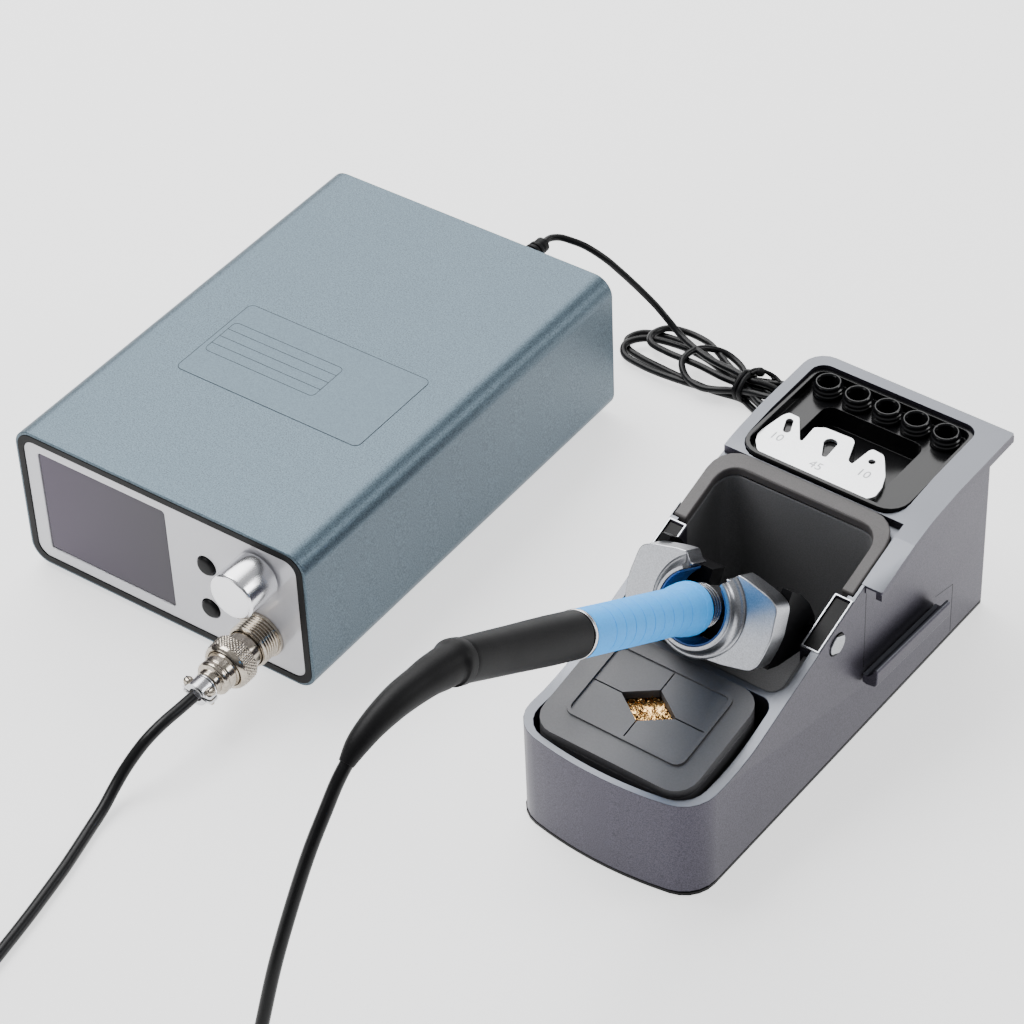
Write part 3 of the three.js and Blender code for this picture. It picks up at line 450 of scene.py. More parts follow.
def tube(line, radius, sides=20):
    """A round bar along a line of points, with one radius or a radius for each point."""
    line = [Vector(p) for p in line]
    radii = radius if isinstance(radius, list) else [radius] * len(line)
    bm = bmesh.new()
    rings = []
    tangent = (line[1] - line[0]).normalized()
    side = tangent.orthogonal().normalized()
    angles = [2 * math.pi * k / sides for k in range(sides)]
    for i, (p, r) in enumerate(zip(line, radii)):
        turned_to = (line[min(i + 1, len(line) - 1)] - line[max(i - 1, 0)]).normalized()
        side = tangent.rotation_difference(turned_to) @ side
        tangent = turned_to
        other = tangent.cross(side)
        rings.append([bm.verts.new(p + r * (side * math.cos(a) + other * math.sin(a))) for a in angles])
    for a, b in zip(rings, rings[1:]):
        for k in range(sides):
            bm.faces.new((a[k], a[(k + 1) % sides], b[(k + 1) % sides], b[k]))
    bm.faces.new(rings[0])
    bm.faces.new(rings[-1])
    bmesh.ops.recalc_face_normals(bm, faces=bm.faces)
    mesh = bpy.data.meshes.new("tube")
    bm.to_mesh(mesh)
    bm.free()
    return mesh


def merged(*meshes):
    bm = bmesh.new()
    for mesh in meshes:
        bm.from_mesh(mesh)
        bpy.data.meshes.remove(mesh)
    mesh = bpy.data.meshes.new("merged")
    bm.to_mesh(mesh)
    bm.free()
    return mesh


def smooth_line(points, step):
    """Centripetal Catmull-Rom line through the points, a point about every step."""
    pts = [Vector(p) for p in points]
    pts = [2 * pts[0] - pts[1]] + pts + [2 * pts[-1] - pts[-2]]
    out = []
    for a, b, c, d in zip(pts, pts[1:], pts[2:], pts[3:]):
        t0 = 0.0
        t1 = t0 + (b - a).length ** 0.5
        t2 = t1 + (c - b).length ** 0.5
        t3 = t2 + (d - c).length ** 0.5
        count = max(2, math.ceil((c - b).length / step))
        for i in range(count):
            t = t1 + (t2 - t1) * i / count
            p1 = a.lerp(b, (t - t0) / (t1 - t0))
            p2 = b.lerp(c, (t - t1) / (t2 - t1))
            p3 = c.lerp(d, (t - t2) / (t3 - t2))
            q1, q2 = p1.lerp(p2, (t - t0) / (t2 - t0)), p2.lerp(p3, (t - t1) / (t3 - t1))
            out.append(q1.lerp(q2, (t - t1) / (t2 - t1)))
    out.append(pts[-2])
    return out


# ---- cords ----
def cord_curve(name, line, diameter):
    curve = bpy.data.curves.new(name, "CURVE")
    curve.dimensions, curve.use_fill_caps = "3D", True
    curve.bevel_depth, curve.bevel_resolution = diameter / 2 * MM, 4
    spline = curve.splines.new("POLY")
    spline.points.add(len(line) - 1)
    for point, p in zip(spline.points, line):
        point.co = (*(DESIGN @ p), 1)
    spline.use_smooth = True
    return add_object(name, curve, "cord_sheath", "station")


LEAD_D, SLEEP_D = 4.1, 2.6
# The middle of the lead is this high where it lies on the floor.
LEAD_LOW = 2.1
LEAD_FROM_PLUG = [
    (104.93, -34.1, 18.3), (104.9, -41, 18.3), (104.6, -48.7, 18), (103.85, -55.6, 16.2), (102.8, -61, 12.9),
    (102.1, -66.3, 9.2), (102.3, -71.6, 6.2), (103.6, -79.1, 3.4), (105.3, -87.4, 2.2)]
LEAD_FROM_PLUG += [(x, y, LEAD_LOW) for x, y in (
    (108.2, -97.9), (110.4, -106.2), (112.7, -116.4), (114.6, -125.2), (116.3, -133.8), (117.9, -142.5),
    (121.4, -160), (128, -178), (139, -195), (151, -207), (166.8, -215))]
COIL_AT, COIL_INNER, COIL_OUTER = (190, -190), 20.2, 29.2
COIL_TURNS, LAYER_RISE = 5, 4.15
# The lead is in two parts, which meet here, in the middle plane of the stand.
LEAD_SPLIT = (STAND_X, -165.8, 60)
LEAD_TO_SPLIT = [(210.6, -218.8, 5.2), (220, -221.5, 3.2), (229.5, -222.6, 2.2), (239, -219.5, LEAD_LOW),
                 (244.8, -212.5, LEAD_LOW)]
LEAD_TO_SPLIT += [(STAND_X, y, z) for y, z in (
    (-203.5, 2.3), (-195.5, 4.6), (-188.4, 10), (-182.4, 19.5), (-177, 32), (-171.2, 47))] + [LEAD_SPLIT]
LEAD_TO_IRON = [LEAD_SPLIT] + [(STAND_X, y, z) for y, z in (
    (-161, 71.2), (-153.2, 88.6), (-143.9, 104.8), (-134.6, 118.6), (-127.1, 127.3), (-120.7, 134.3),
    (-113.6, 139.5))]


def coil_points():
    """In at the outside on the floor, inwards, up a layer, and outwards again, all anticlockwise."""
    count = 16 * COIL_TURNS
    rise_from, rise_over = 0.44, 0.12
    out = []
    for i in range(count + 1):
        u = i / count
        angle = math.radians(270 + 360 * COIL_TURNS * u)
        inward = min(1.0, 1.12 * (1 - abs(2 * u - 1)))
        r = COIL_OUTER - (COIL_OUTER - COIL_INNER) * inward
        rise = min(1.0, max(0.0, (u - rise_from) / rise_over))
        z = LEAD_LOW + LAYER_RISE * (3 * rise ** 2 - 2 * rise ** 3)
        out.append((COIL_AT[0] + r * math.cos(angle), COIL_AT[1] + r * math.sin(angle), z))
    return out


def lead_part(name, line, nodes):
    """One part of the iron's lead: a tube along the line, between two bodies, standing for the nodes."""
    mesh = tube(line, LEAD_D / 2, 18)
    mesh.transform(DESIGN)
    shade(mesh)
    obj = bpy.data.objects.new(name, mesh)
    bpy.context.scene.collection.objects.link(obj)
    mesh.materials.append(MATS["cord_sheath"])
    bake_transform(obj)
    stands_for(obj, *nodes)


def iron_lead():
    step = 1.5
    lower = smooth_line(LEAD_FROM_PLUG + coil_points() + LEAD_TO_SPLIT, step)
    upper = smooth_line(LEAD_TO_IRON, step)
    lead_part("iron_lead_lower", lower,
              ("iron_lead_plug_run", "iron_lead_coil"))
    lead_part("iron_lead_upper", upper,
              ("iron_lead_handle_run",))


SLEEP_LINE = [
    (77.92, 196.6, 49), (77.9, 200, 48.9), (80, 203.6, 48), (83.5, 206.1, 46.4), (87.5, 209, 43.8),
    (93.6, 213, 38), (97.3, 215.7, 33), (101.2, 218.4, 27.5), (104.8, 221, 22), (108.9, 223.1, 16.5),
    (113.9, 223.7, 11.6),
    (119.9, 222.5, 8.5), (126.4, 220.7, 7.4), (133.7, 218.7, 7.2), (141, 217.7, 7.2), (147.7, 217.4, 7.2),
    (155, 216.6, 7.2), (161, 218, 6.8), (166.4, 218.6, 5.8), (170.8, 216.4, 4.6), (172.2, 212.6, 3.4),
    (170, 209, 2.4), (165.4, 207.8, 1.6), (160.2, 209.8, 1.2),
    # first loop, the longest
    (155, 211.6, 1.2), (143, 209.8, 1.2), (130.6, 209.6, 1.2), (120, 210, 1.2), (109.8, 210.8, 1.2),
    (103, 212.6, 1.2), (100, 217.2, 1.2), (102.6, 223, 1.2), (112.8, 226.4, 1.2), (128.9, 225.6, 1.2),
    (143, 220.6, 1.2), (155, 218.8, 1.2), (161, 220, 1.2), (166.6, 220.6, 1.2), (171.2, 218.4, 1.4),
    (172.6, 214.6, 2.2), (170.4, 210.8, 3.2), (165.8, 209.6, 3.7), (160.6, 211.4, 3.7),
    # second loop
    (155, 213, 3.4), (150, 211.4, 3.4), (143.4, 207.9, 3.4), (127.4, 205.3, 3.2), (113.9, 205.6, 2.6),
    (105, 207.6, 2.6), (102.7, 211.6, 3.4), (106.6, 218.2, 3.5), (120, 222, 3.5), (132, 221.4, 3.5),
    (143, 218.6, 3.5), (155, 216.6, 3.6), (161, 218.2, 3.6), (166.4, 219.2, 3.7), (170.6, 217.2, 4.2),
    (172, 213.4, 5), (169.8, 209.8, 5.8), (165.2, 208.8, 6.1), (160.2, 211, 6),
    # third loop, standing off to the back
    (155, 213.4, 5.7), (144, 213.6, 5.7), (134.1, 214.4, 5.7), (119.1, 214.2, 5.7), (111.4, 215.6, 5.6),
    (108.4, 221, 4.6), (110.4, 228, 3.6), (117, 231.4, 2.4), (125.8, 231.3, 2), (131.7, 228.6, 2.6),
    (138, 224.6, 3.5), (146, 220, 4.8), (155, 219, 5.6), (161, 220.6, 6), (166.2, 221.6, 6.8),
    (170.8, 219.6, 7.7), (172.2, 215.8, 8.2), (169.8, 212.2, 8.4), (165.2, 211, 8), (160, 211, 7),
    # last short loop
    (155, 210.8, 5.8), (148.3, 207.4, 5.4), (141, 205.4, 4.6), (134, 206.4, 5.4), (129, 210.6, 7.6),
    (128.4, 217, 7.8), (130.4, 224, 5.8), (136, 228.6, 3), (143.4, 227.6, 1.3), (150, 222.6, 1.6),
    (156, 220.4, 3.4), (163, 217.4, 4), (172, 219, 1.3), (184, 221.5, 1.2), (198, 221, 1.2),
    (211, 215.5, 1.2), (222, 206, 1.3), (228, 198.5, 2.8), (231.2, 192.5, 6), (232, 187.5, 9),
    (232, 182.4, 10)]


# Lifts the whole line, so that a cable of this thickness clears the floor.
SLEEP_LIFT = Vector((0, 0, 0.2))


def sleep_cable():
    line = [p + SLEEP_LIFT for p in smooth_line(SLEEP_LINE, 1.2)]
    cable = cord_curve("sleep_cable", line, SLEEP_D)
    stands_for(cable, "sleep_cable_run", "sleep_cable_hank", "sleep_cable_end_run")


iron_lead()
sleep_cable()


# ---- studio ----
# Name, place, size and watts, in metres.
LIGHTS = (("back_light", (-0.75, 0.94, 1.05), 1.3, 26),
          ("top_light", (-0.7, 0.0, 1.35), 0.9, 26),
          ("front_light", (-0.75, -1.3, 0.4), 0.7, 4),
          ("edge_light", (1.45, 1.3, 1.03), 0.8, 14))
AIMED_AT = Vector((0, 0, 0.04))
FLOOR_HALF, FLOOR_DOWN = 6, 0.0002
HORIZON, OVERHEAD = (0.028, 0.03, 0.042, 1), (0.97, 0.98, 1, 1)


def studio():
    floor = bpy.data.meshes.new("floor")
    corners = [(x * FLOOR_HALF, y * FLOOR_HALF, 0) for x, y in ((-1, -1), (1, -1), (1, 1), (-1, 1))]
    floor.from_pydata(corners, [], [(0, 1, 2, 3)])
    obj = bpy.data.objects.new("floor", floor)
    obj.location.z = -FLOOR_DOWN
    bpy.context.scene.collection.objects.link(obj)
    obj.data.materials.append(new_material("floor_paper", (0.6, 0.6, 0.6), 0.9, Emission_Strength=1.3,
                                           Emission_Color=(1, 1, 1, 1), Specular_IOR_Level=0.1))
    world = bpy.data.worlds.new("studio")
    bpy.context.scene.world = world
    world.use_nodes = True
    tree = world.node_tree
    # Bright overhead, dim towards the horizon.
    tex = tree.nodes.new("ShaderNodeTexCoord")
    split = tree.nodes.new("ShaderNodeSeparateXYZ")
    ramp = tree.nodes.new("ShaderNodeValToRGB")
    ramp.color_ramp.elements[0].position, ramp.color_ramp.elements[1].position = 0.15, 0.9
    ramp.color_ramp.elements[0].color, ramp.color_ramp.elements[1].color = HORIZON, OVERHEAD
    tree.links.new(tex.outputs["Generated"], split.inputs["Vector"])
    tree.links.new(split.outputs["Z"], ramp.inputs["Fac"])
    tree.links.new(ramp.outputs["Color"], tree.nodes["Background"].inputs["Color"])
    tree.nodes["Background"].inputs["Strength"].default_value = 0.6
    for name, place, size, watts in LIGHTS:
        light = bpy.data.lights.new(name, "AREA")
        light.energy, light.size = watts, size
        lamp = bpy.data.objects.new(name, light)
        lamp.location = place
        lamp.rotation_euler = (AIMED_AT - Vector(place)).to_track_quat("-Z", "Y").to_euler()
        bpy.context.scene.collection.objects.link(lamp)


studio()


# ---- main unit ----
# Places on the front and the back are (x, z).
KNOB, PLUG, RELIEF = (105.1, 46), (104, 18.3), (83, 49)
CASE_WIDE, CASE_DEEP, CASE_LOW, CASE_TOP, CASE_ROUND, CASE_WALL = 125, 177.4, 2, 60.8, 7.4, 2.4
BUTTONS = {"channel_button": (81.9, 37.4), "set_button": (81.7, 18.1)}


def unit_case():
    outline = rounded(0, CASE_WIDE, CASE_LOW, CASE_TOP, CASE_ROUND, 16)
    bore = rounded(CASE_WALL, CASE_WIDE - CASE_WALL, CASE_LOW + CASE_WALL, CASE_TOP - CASE_WALL,
                   CASE_ROUND - CASE_WALL, 16)
    placed("sleeve", plate([outline, bore], 0, CASE_DEEP, "y", 0.4), UNIT, "case_sleeve")


def unit_label():
    """A clear label, just proud of the sleeve, with a border and an empty ruled table."""
    clear = grained("clear_label", SLEEVE_COLOR, 0.42, 0.6, 0.45, 0.012, 0.18, wear=0.02)
    sheet = plate([rounded(26, 105, 55, 97, 2.5)], CASE_TOP - 0.08, CASE_TOP + 0.08, "z", 0.03)
    placed("clear_label", sheet, UNIT, [], slot="sleeve_metal", body="station", material=clear)
    wide = 0.2
    border = [rounded(26 + i, 105 - i, 55 + i, 97 - i, 2.5 - i) for i in (0, wide)]
    table = [rounded(28 + i, 76 - i, 68 + i, 86 - i, 2 - i) for i in (0, wide)]
    rules = [[(28.3, y), (75.7, y), (75.7, y + wide), (28.3, y + wide)] for y in (72.4, 76.9, 81.4)]
    printed = plate(border + table + rules, CASE_TOP + 0.07, CASE_TOP + 0.11, "z", 0.005, 1)
    placed("label_rules", printed, UNIT, [], slot="black_plastic", body="station")


def unit_front():
    ring = [rounded(i, CASE_WIDE - i, CASE_LOW + i, CASE_TOP - i, CASE_ROUND - i * 0.7)
            for i in (1.0, 3.75)]
    placed("gasket", plate(ring, -0.25, 1.4, "y", 0.25), UNIT, "front_gasket")
    holes = [circle(x, z, 3.95, 48) for x, z in BUTTONS.values()] + [circle(*KNOB, 3.9), circle(*PLUG, 6.9)]
    face, opening = rounded(3.5, 121.5, 5.5, 57.3, 5.2, 12), rounded(9.7, 65.4, 10.4, 53.3, 1.2, 4)
    placed("face_panel", plate([face, opening] + holes, 0.1, 2.8, "y", 0.35), UNIT, "front_panel")
    turning = [(0, -15.1), (4, -15.05), (7.9, -14.9), (8.45, -14.6), (8.8, -14.1), (8.8, -1.1), (8.5, -0.8),
               (3.4, -0.8), (3.4, -12.4), (0, -12.4)]
    knob = turned(turning, 128, "y", (KNOB[0], 0, KNOB[1]), 0.12)
    placed("knob", knob, UNIT, "control_knob", material=spun_metal())
    button = [(0, -1.15), (2.2, -1.12), (2.9, -1.0), (3.35, -0.7), (3.6, -0.2), (3.65, 0.3), (3.65, 3.1),
              (4.8, 3.1), (4.8, 4.2), (0, 4.2)]
    for name, (x, z) in BUTTONS.items():
        placed(name + "_cap", turned(button, 72, "y", (x, 0, z), 0.2), UNIT, name)


def spun_metal():
    """Bright metal with rings about the knob's axis, as it comes off a lathe."""
    m = new_material("spun_knob", (0.8, 0.8, 0.82), 0.23, 1.0)
    rings = node(m, "ShaderNodeTexWave", wave_type="RINGS", rings_direction="Z", Scale=900, Distortion=0.6,
                 Detail=2)
    axis = at(KNOB[0], 0, KNOB[1], UNIT)
    about_axis = moved_coords(m, (-axis.x, axis.z, 0), rotation=(math.pi / 2, 0, 0))
    m.node_tree.links.new(about_axis, rings.inputs["Vector"])
    bump(m, rings.outputs["Fac"], 0.003, 0.4)
    roughen(m, rings.outputs["Fac"], 0.19, 0.27)
    return m


NUT_FROM, NUT_TO, KNURLS = -19, -13.8, 40


def knurl(angle, height):
    """Diamond knurl: two crossed sets of grooves."""
    if not NUT_FROM < height < NUT_TO:
        return 0
    turns, slope = KNURLS * angle / (2 * math.pi), height * 0.72
    ridge = [abs(2 * ((turns + s * slope) % 1) - 1) for s in (1, -1)]
    return 0.5 * min(ridge) - 0.28


def unit_connector():
    centre = (PLUG[0], 0, PLUG[1])
    thread = []
    for i in range(6):
        y = -1.7 - 1.15 * i
        thread += [(8, y), (8, y - 0.25), (7.3, y - 0.6), (7.3, y - 0.8)]
    rim = [(8, -1.2), (8.8, -1.2), (8.8, 0), (6.6, 0), (6.6, 16), (0, 16)]
    socket = [(0, -2), (7, -2), (7, -8.8), (7.6, -8.8)] + thread[::-1] + rim
    placed("socket", turned(socket, 96, "y", centre, 0.15), UNIT, "panel_socket")
    shell = [(0, -29.7), (4.3, -29.7), (4.65, -29.3), (4.65, -27.4), (6.0, -27), (6.4, -26.4), (6.4, -25.2),
             (6.15, -24.9), (6.15, -24.4), (6.4, -24.1), (6.4, -21.4), (6.7, -20.8), (6.7, -2.4), (0, -2.4)]
    placed("plug_body", turned(shell, 96, "y", centre, 0.2), UNIT, "plug_shell")
    band = [(8.75, NUT_FROM + 5.1 * i / 22) for i in range(23)]
    shoulder = [(7, -20.6), (7.6, -20.95), (8.2, -20.5), (8.6, -19.8), (8.6, -19.3)]
    nut = shoulder + band + [(8.5, -13.6), (8.2, -13.5), (7, -13.5), (7, -20.6)]
    placed("knurled_nut", turned(nut, 264, "y", centre, 0, ripple=knurl), UNIT, "coupling_nut", degrees=50)
    cable_clamp(centre)


def cable_clamp(centre):
    """Two bent straps round the lead, pinched together by a screw at each side."""
    x0, y0, z0 = PLUG[0], -33.1, PLUG[1]
    arch = [(2.5, -2.4), (2.5, 2.4), (4.4, 2.4), (4.4, -2.4)]
    screw = [(0, 3.3), (0.9, 3.25), (1.5, 2.9), (1.7, 2.3), (1.7, 1.6), (0.85, 1.55), (0.85, -3.2), (0, -3.4)]
    straps = []
    for up, start in ((1, 12), (-1, 192)):
        straps.append(turned(arch, 32, "y", (x0, y0, z0), 0.2, span=(start, start + 156)))
        for side in (-1, 1):
            ear = prism(softened(rounded(-1.5, 1.5, -2.1, 2.1, 0.9, 4), 0.1, 1), 0.45, 1.55)
            ear.transform(Matrix.Translation((x0 + side * 4.6, y0, z0)) @ Matrix.Scale(up, 4, (0, 0, 1)))
            straps.append(ear)
    neck = turned([(0, -30.4), (4.4, -30.4), (4.4, -29.9), (0, -29.9)], 48, "y", centre, 0.1)
    placed("clamp_straps", merged(neck, *straps), UNIT, "cable_clamp", degrees=40)
    for i, side in enumerate((-1, 1)):
        x = x0 + side * 4.7
        head = turned(screw, 32, "z", (x, y0, z0), 0.1)
        drive = prism(rounded(-1.3, 1.3, -0.2, 0.2, 0.1, 2), 3.2, 3.36)
        drive.transform(Matrix.Translation((x, y0, z0)) @ Matrix.Rotation(0.6 + side, 4, "Z"))
        placed(f"clamp_screw_{i + 1}", head, UNIT, [], slot="nickel", body=BODY_OF["cable_clamp"])
        placed(f"clamp_drive_{i + 1}", drive, UNIT, [], slot="black_plastic", body=BODY_OF["cable_clamp"])


def unit_back():
    inlet, switch = rounded(12.2, 39.8, 17, 37, 0.3, 2), rounded(53.2, 66.8, 17.2, 36.8, 0.3, 2)
    outline = rounded(2.7, 122.3, 4.7, 58.1, 4.7, 12)
    panel = plate([outline, inlet, switch, circle(*RELIEF, 4.2)], CASE_DEEP - 2.4, CASE_DEEP - 0.4, "y", 0.25)
    placed("back_panel", panel, UNIT, "rear_panel")
    ribs = []
    for i in range(5):
        y, r = 180.4 + i * 2.2, 4.15 - i * 0.2
        ribs += [(r, y), (r, y + 1.3), (r - 0.7, y + 1.5), (r - 0.7, y + 2.1)]
    flange = [(0, 172), (5.6, 172), (5.6, 174.7), (3.8, 174.7), (3.8, 177.3), (5.4, 177.3), (5.4, 179),
              (4.4, 179.6)]
    profile = flange + ribs + [(2.9, 192), (2.9, 194), (0, 194)]
    placed("relief_sleeve", turned(profile, 64, "y", (RELIEF[0], 0, RELIEF[1]), 0.15), UNIT, "sleep_relief")


# ---- stand ----
BUSHES, BUSH_Y = (223.7, 235.3, 246.9, 258.1, 269.6), 160.8
PIVOT_Y, PIVOT_Z = 77.4, 51.4
PULLER_TOP = 73
PULLER_OUTLINE = [
    (225, 119.7), (261.9, 119.7), (264.7, 120.6), (266.3, 123), (265.9, 127.9), (263.7, 133.4),
    (258.8, 140.6), (257.4, 142.1), (253.2, 142.6), (252.4, 141.5), (251.4, 132.4), (249.5, 133.2),
    (246.2, 142.2), (244.8, 143.4), (234.4, 143), (231.1, 141), (231.7, 133.2), (230.9, 132.8),
    (224.3, 142.6), (220.2, 142.7), (219, 140.3), (217.5, 130.6), (217.6, 127.6), (218.9, 124.6),
    (221.7, 121.2)]


def softened(loop, reach=0.8, steps=3):
    """The loop with each corner rounded over reach along its sides."""
    out = []
    for i, p in enumerate(loop):
        p, before, after = Vector(p), Vector(loop[i - 1]), Vector(loop[(i + 1) % len(loop)])
        a = p + (before - p).normalized() * min(reach, (before - p).length * 0.45)
        b = p + (after - p).normalized() * min(reach, (after - p).length * 0.45)
        out += [tuple(a.lerp(p, t).lerp(p.lerp(b, t), t)) for t in (k / steps for k in range(steps + 1))]
    return out


def turned_loop(loop, angle, x, y):
    c, s = math.cos(angle), math.sin(angle)
    return [(x + px * c - py * s, y + px * s + py * c) for px, py in loop]


def puller():
    slot_hole = turned_loop(rounded(-1.25, 1.25, -3.6, 3.6, 1.24, 8), 0.39, 223.6, 136.9)
    stem = [(-0.95, -6.2)] + arc(0, -6.2, 0.95, 180, 360, 8)[1:-1] + [(0.95, -6.2)]
    keyhole = turned_loop(arc(0, 0, 2.3, -25, 205, 18) + stem, 0.27, 240, 137.2)
    loops = [softened(PULLER_OUTLINE), slot_hole, keyhole, circle(256.2, 137, 1.2, 24)]
    mesh = plate(loops, PULLER_TOP - 1.2, PULLER_TOP, "z", 0.12, 2)
    face = grained("puller_face", (0.72, 0.73, 0.74), 0.32, 0.9, 0.4, 0.006, 0.05)
    placed("puller", mesh, DESIGN, "puller_plate", material=face)
    for text, x, y in (("10", 223.6, 130), ("45", 242.2, 125), ("10", 257.2, 130.4)):
        curve = bpy.data.curves.new("number", "FONT")
        curve.body, curve.size, curve.extrude, curve.resolution_u = text, 4.9, 0.02, 4
        curve.align_x, curve.align_y = "CENTER", "CENTER"
        obj = bpy.data.objects.new("number", curve)
        bpy.context.scene.collection.objects.link(obj)
        mesh = bpy.data.meshes.new_from_object(obj.evaluated_get(bpy.context.evaluated_depsgraph_get()))
        bpy.data.objects.remove(obj)
        mesh.transform(Matrix.Translation((x, y, PULLER_TOP + 0.01)))
        placed(f"number_{text}_at_{round(x)}", mesh, DESIGN, [], slot="steel", body="station",
               material=ENGRAVED)


BORE_R, BORE_FLAT = 3.25, 3.0


def hexagon(angle, height):
    """Turns the bore's ring, of radius BORE_R, into a hexagon with its flats BORE_FLAT from the middle."""
    return BORE_FLAT / math.cos((angle + math.pi / 6) % (math.pi / 3) - math.pi / 6) - BORE_R


def bushes():
    outer = [(BORE_R, 60.5), (3.7, 60.5), (3.7, 71.3), (4.9, 71.3), (5.2, 71.6), (5.2, 72.5), (4.75, 72.8),
             (4.75, 73.1), (5.1, 73.4), (5.1, 74.0), (4.6, 74.4), (4.6, 75.5), (4.2, 76), (3.85, 76),
             (3.55, 75.5), (3.45, 75.3)]
    for i, x in enumerate(BUSHES):
        outside = turned(outer, 72, "z", (x, BUSH_Y, 0), 0.12)
        inside = turned([(BORE_R, 75.4), (BORE_R, 60.5)], 72, "z", (x, BUSH_Y, 0), 0, ripple=hexagon)
        placed(f"bush_{i + 1}", merged(outside, inside), DESIGN, f"tip_bush_{i + 1}", degrees=25)


def pivot_details():
    """On each side, a pin head with two flats and the thin sloping frame round the pivot block."""
    two_flats = arc(0, 0, 3.9, -52, 52, 24) + arc(0, 0, 3.9, 128, 232, 24)
    frame_loops = [rounded(-3.4, 3.4, -10.7, 10.5, 0.4, 3), rounded(-2.8, 2.8, -10.1, 9.9, 0.3, 3)]
    cap_turn, frame_slope = Matrix.Rotation(-0.5, 4, "X"), Matrix.Rotation(math.atan2(4.1, 11), 4, "X")
    for side, name in ((1, "right"), (-1, "left")):
        cap = plate([two_flats], -0.5, 0.5, "x", 0.15, 2)
        cap.transform(Matrix.Translation((STAND_X + side * 35.85, PIVOT_Y, PIVOT_Z)) @ cap_turn)
        placed(f"pin_head_{name}", cap, DESIGN, [], slot="bright_metal", body="station")
        slope = Matrix.Translation((STAND_X + side * 32.05, 77.1, 58.85)) @ frame_slope
        placed(f"notch_frame_{name}", plate(frame_loops, -0.4, 0.3, "z", 0.12, 2), DESIGN @ slope, [],
               slot="bright_metal", body="station")


# The joints between the moulded panels of the right wall: each from one (y, z) to another.
PANEL_JOINTS = ((94, 28.5, 94, 61), (137.9, 26.2, 149, 23.6), (149, 2.2, 149, 14), (149, 14, 149, 23.6))
JOINT_HALF = 0.12


def panel_joints():
    for i, (y0, z0, y1, z1) in enumerate(PANEL_JOINTS):
        run = Vector((y1 - y0, z1 - z0))
        loop = [(-JOINT_HALF, 0), (JOINT_HALF, 0), (JOINT_HALF, run.length), (-JOINT_HALF, run.length)]
        strip = prism(loop, STAND_RIGHT - 0.05, STAND_RIGHT + 0.03, "x")
        lean = Matrix.Rotation(run.angle_signed(Vector((0, 1))), 4, "X")
        strip.transform(Matrix.Translation((0, y0, z0)) @ lean)
        placed(f"panel_joint_{i + 1}", strip, DESIGN, [], slot="black_plastic", body="station")


def stand_base():
    """The black base plate, its flange brought out to the shell's wall and up to its lower edge."""
    base = refined("base_plate", 0.2)
    low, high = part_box("base_plate")
    shell_low, shell_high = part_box("stand_shell")
    middle = (low + high) / 2
    grow = [(shell_high[i] - shell_low[i]) / (high[i] - low[i]) for i in (0, 1)]
    flange_top = 1.3 * MM
    for v in base.data.vertices:
        if v.co.z < flange_top:
            for i in (0, 1):
                v.co[i] = middle[i] + (v.co[i] - middle[i]) * grow[i]
            v.co.z *= 1.15


def wool():
    """Curled brass shavings over a packed core."""
    refined("brass_wool", 0.8)
    rng = random.Random(7)
    curl_count, steps = 150, 26
    curls = []
    for _ in range(curl_count):
        x, y = rng.uniform(235, 257), rng.uniform(17.5, 32)
        base = Vector((x, y, 40.6 + 0.19 * (y + 5) - rng.uniform(3.4, 5)))
        lean = Vector((rng.uniform(-1, 1), rng.uniform(-1, 1), rng.uniform(-0.15, 0.3))).normalized()
        side = lean.orthogonal().normalized()
        up = lean.cross(side)
        r, turns, length = rng.uniform(0.5, 1.1), rng.uniform(1.2, 2.6), rng.uniform(2, 5)
        line = []
        for k in range(steps + 1):
            a = 2 * math.pi * turns * k / steps
            line.append(base + lean * (length * k / steps) + (side * math.cos(a) + up * math.sin(a)) * r)
        curls.append(tube(line, 0.13, 5))
    placed("wool_curls", merged(*curls), DESIGN, [], slot="brass", body="cleaning_box", degrees=60)


# ---- holder and iron ----
SLOT_HALF, CUP_BORE, CUP_DEEP = 7.7, 12.7, 8.8
CUP_SIDE = [(SLOT_HALF, 11.8), (9.8, 14.8), (11.2, 14.6), (13.2, 14.4), (18.4, 13.2), (22.5, 12.2),
            (25.3, 10.7), (26.3, 8.8), (27.2, 0), (26.5, -5.4), (25.4, -10), (23.6, -12.3),
            (21.6, -13), (13.1, -14.7), (5.7, -15.4)]


def cup():
    """The cup, open at its top where the slot runs into its bore, and the coved collar on its face."""
    outline = softened(CUP_SIDE + [(-x, y) for x, y in reversed(CUP_SIDE)], 1.6, 4)
    bore_start = math.degrees(math.acos(-SLOT_HALF / CUP_BORE))
    bore = arc(0, 0, CUP_BORE, bore_start, 540 - bore_start, 64)
    placed("cup", prism(outline + bore, -CUP_DEEP, 0), HOLDER, "holder_cup", edges=1.25)
    gap = 34
    angles = [math.radians(15 * k) for k in range(7)]
    cove = [(14 + 2.3 * (1 - math.cos(a)), 3.9 - 3 * math.sin(a)) for a in angles]
    lip = [(13.9, 4.4), (13.5, 4.6), (12.45, 4.6)]
    collar = [(12.45, -0.6), (16.9, -0.6), (16.9, 0.6)] + cove[::-1] + lip
    placed("cup_collar", turned(collar, edge=0.12, span=(90 + gap, 450 - gap)), HOLDER, [],
           slot="bright_metal", body="holder")


GRIP_R, GRIP_BORE, GROOVE_DEPTH, GROOVE_HALF = 7.6, 2.9, 0.34, 0.2
GROOVES, FIRST_GROOVE, GROOVE_STEP = 9, 17.15, 5.7


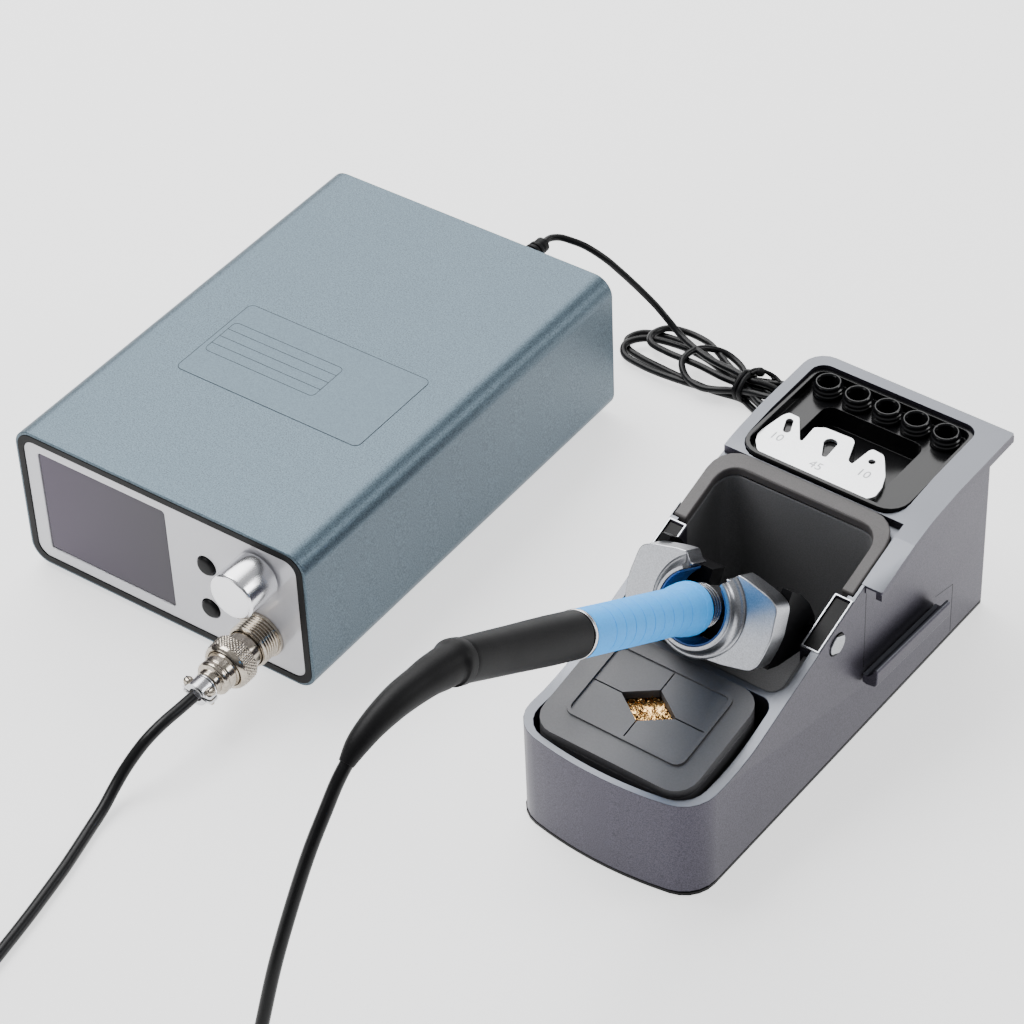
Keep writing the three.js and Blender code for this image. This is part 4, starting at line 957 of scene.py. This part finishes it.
def iron():
    grooves = []
    for i in range(GROOVES):
        z = FIRST_GROOVE + i * GROOVE_STEP
        grooves += [(GRIP_R, z - GROOVE_HALF), (GRIP_R - GROOVE_DEPTH, z), (GRIP_R, z + GROOVE_HALF)]
    collar = [(GRIP_BORE, 5.2), (8.0, 5.2), (8.5, 5.7), (8.7, 6.6), (8.7, 9.2), (8.42, 9.6), (8.36, 12.4),
              (8.1, 14.2), (7.7, 16)]
    grip = collar + grooves + [(GRIP_R, 73.1), (GRIP_BORE, 73.1), (GRIP_BORE, 5.2)]
    placed("grip_sleeve", turned(grip, edge=0.06), HOLDER, "grip", degrees=50)
    rings = []
    for i in range(4):
        z = 3.6 - 1.5 * i
        rings += [(7.35, z), (7.35, z - 0.9), (6.75, z - 1.0), (6.75, z - 1.4)]
    taper = [(6.5, -4), (5.4, -10), (4.6, -17), (GRIP_BORE, -17), (GRIP_BORE, 4.9)]
    nose = [(GRIP_BORE, 4.9), (GRIP_R, 4.9), (GRIP_R, 3.9)] + rings + taper
    placed("nose_ferrule", turned(nose, edge=0.12), HOLDER, "grip_nose")
    ring = [(0, 73.4), (7.55, 73.4), (7.7, 73.7), (7.7, 74.7), (7.55, 75), (0, 75)]
    placed("ring_band", turned(ring, edge=0.1), HOLDER, "grip_ring")
    barrel = [(0, 75.3), (7.2, 75.3), (7.5, 75.7), (7.5, 90), (7.3, 101), (7.1, 110), (6.9, 124), (6.7, 135),
              (6.2, 137), (0, 137)]
    placed("barrel_tube", turned(barrel, edge=0.3), HOLDER, "barrel")
    tip = [(0, 70), (2.6, 70), (2.6, -20), (2.75, -20.4), (2.75, -33), (2.6, -34), (3.2, -35), (3.2, -41),
           (2.3, -43), (2.1, -44.5), (0.3, -52), (0, -52)]
    placed("tip_cartridge", turned(tip, 48, edge=0.15), HOLDER, "cartridge")


# The boot's middle line in the stand's middle plane, as y, z and thickness there.
BOOT_LINE = [
    (-66.41, 136.82, 14), (-69.62, 138.67, 14), (-70.4, 138.95, 12.6), (-74.8, 140, 12.1), (-79, 141.2, 11.4),
    (-83.7, 142, 10.6), (-92.5, 143.2, 9.8), (-99.2, 143.2, 8.9), (-105.9, 142.4, 7.9), (-111.8, 140.6, 6.8),
    (-116.9, 137.5, 4.7)]


def boot():
    spine = smooth_line(BOOT_LINE, 1.2)
    mesh = tube([(STAND_X, y, z) for y, z, _ in spine], [d / 2 for _, _, d in spine], 48)
    placed("cable_boot", mesh, DESIGN, "boot", edges=0.4)


def twist_tie():
    """Flat black tie wound round the hank, its ends twisted together and folded down on top."""
    wound = []
    steps = 60
    for k in range(steps + 1):
        a = math.radians(-70 + 13 * k)
        reach = 6.0 + 0.3 * math.sin(5 * a)
        wound.append((151.6 + 4.4 * k / steps, 215.2 + reach * math.cos(a), 5.0 + 4.5 * math.sin(a)))
    band = tube(smooth_line(wound, 0.8), 0.95, 10)
    tails = []
    for s in (-0.6, 0.7):
        line = [(154.4 + s, 217.6, 9.6), (156 + s, 219.8, 10.2), (158.6 + s, 221.6, 9.4),
                (161.4 + 1.5 * s, 222.2, 8.2), (163.6 + 2 * s, 221.4, 7.6)]
        tails.append(tube(smooth_line(line, 0.6), 0.75, 10))
    knot = turned([(0, -1.9), (1.3, -1.6), (1.9, 0), (1.3, 1.6), (0, 1.9)], 20, "x", (157, 220.2, 9.5), 0.4)
    placed("twist_tie", merged(band, knot, *tails), DESIGN, [], slot="black_rubber", body="station",
           degrees=60)


unit_case()
unit_label()
unit_front()
unit_connector()
unit_back()
puller()
bushes()
pivot_details()
panel_joints()
stand_base()
wool()
cup()
iron()
boot()
twist_tie()

refined("stand_shell", 0.45)
refined("cover_plate", 0.45)
refined("cavity_liner", 0.6, LINER)
refined("liner_rim", 0.8)
refined("box_lid", 0.35)
refined("cleaning_box", 0.6)
refined("holder_carrier", 0.9)
refined("side_rail", 0.4)

# Every CAD node that nothing stands for yet.
for name in frame["nodes"]:
    if name not in REPLACED:
        refined(name)
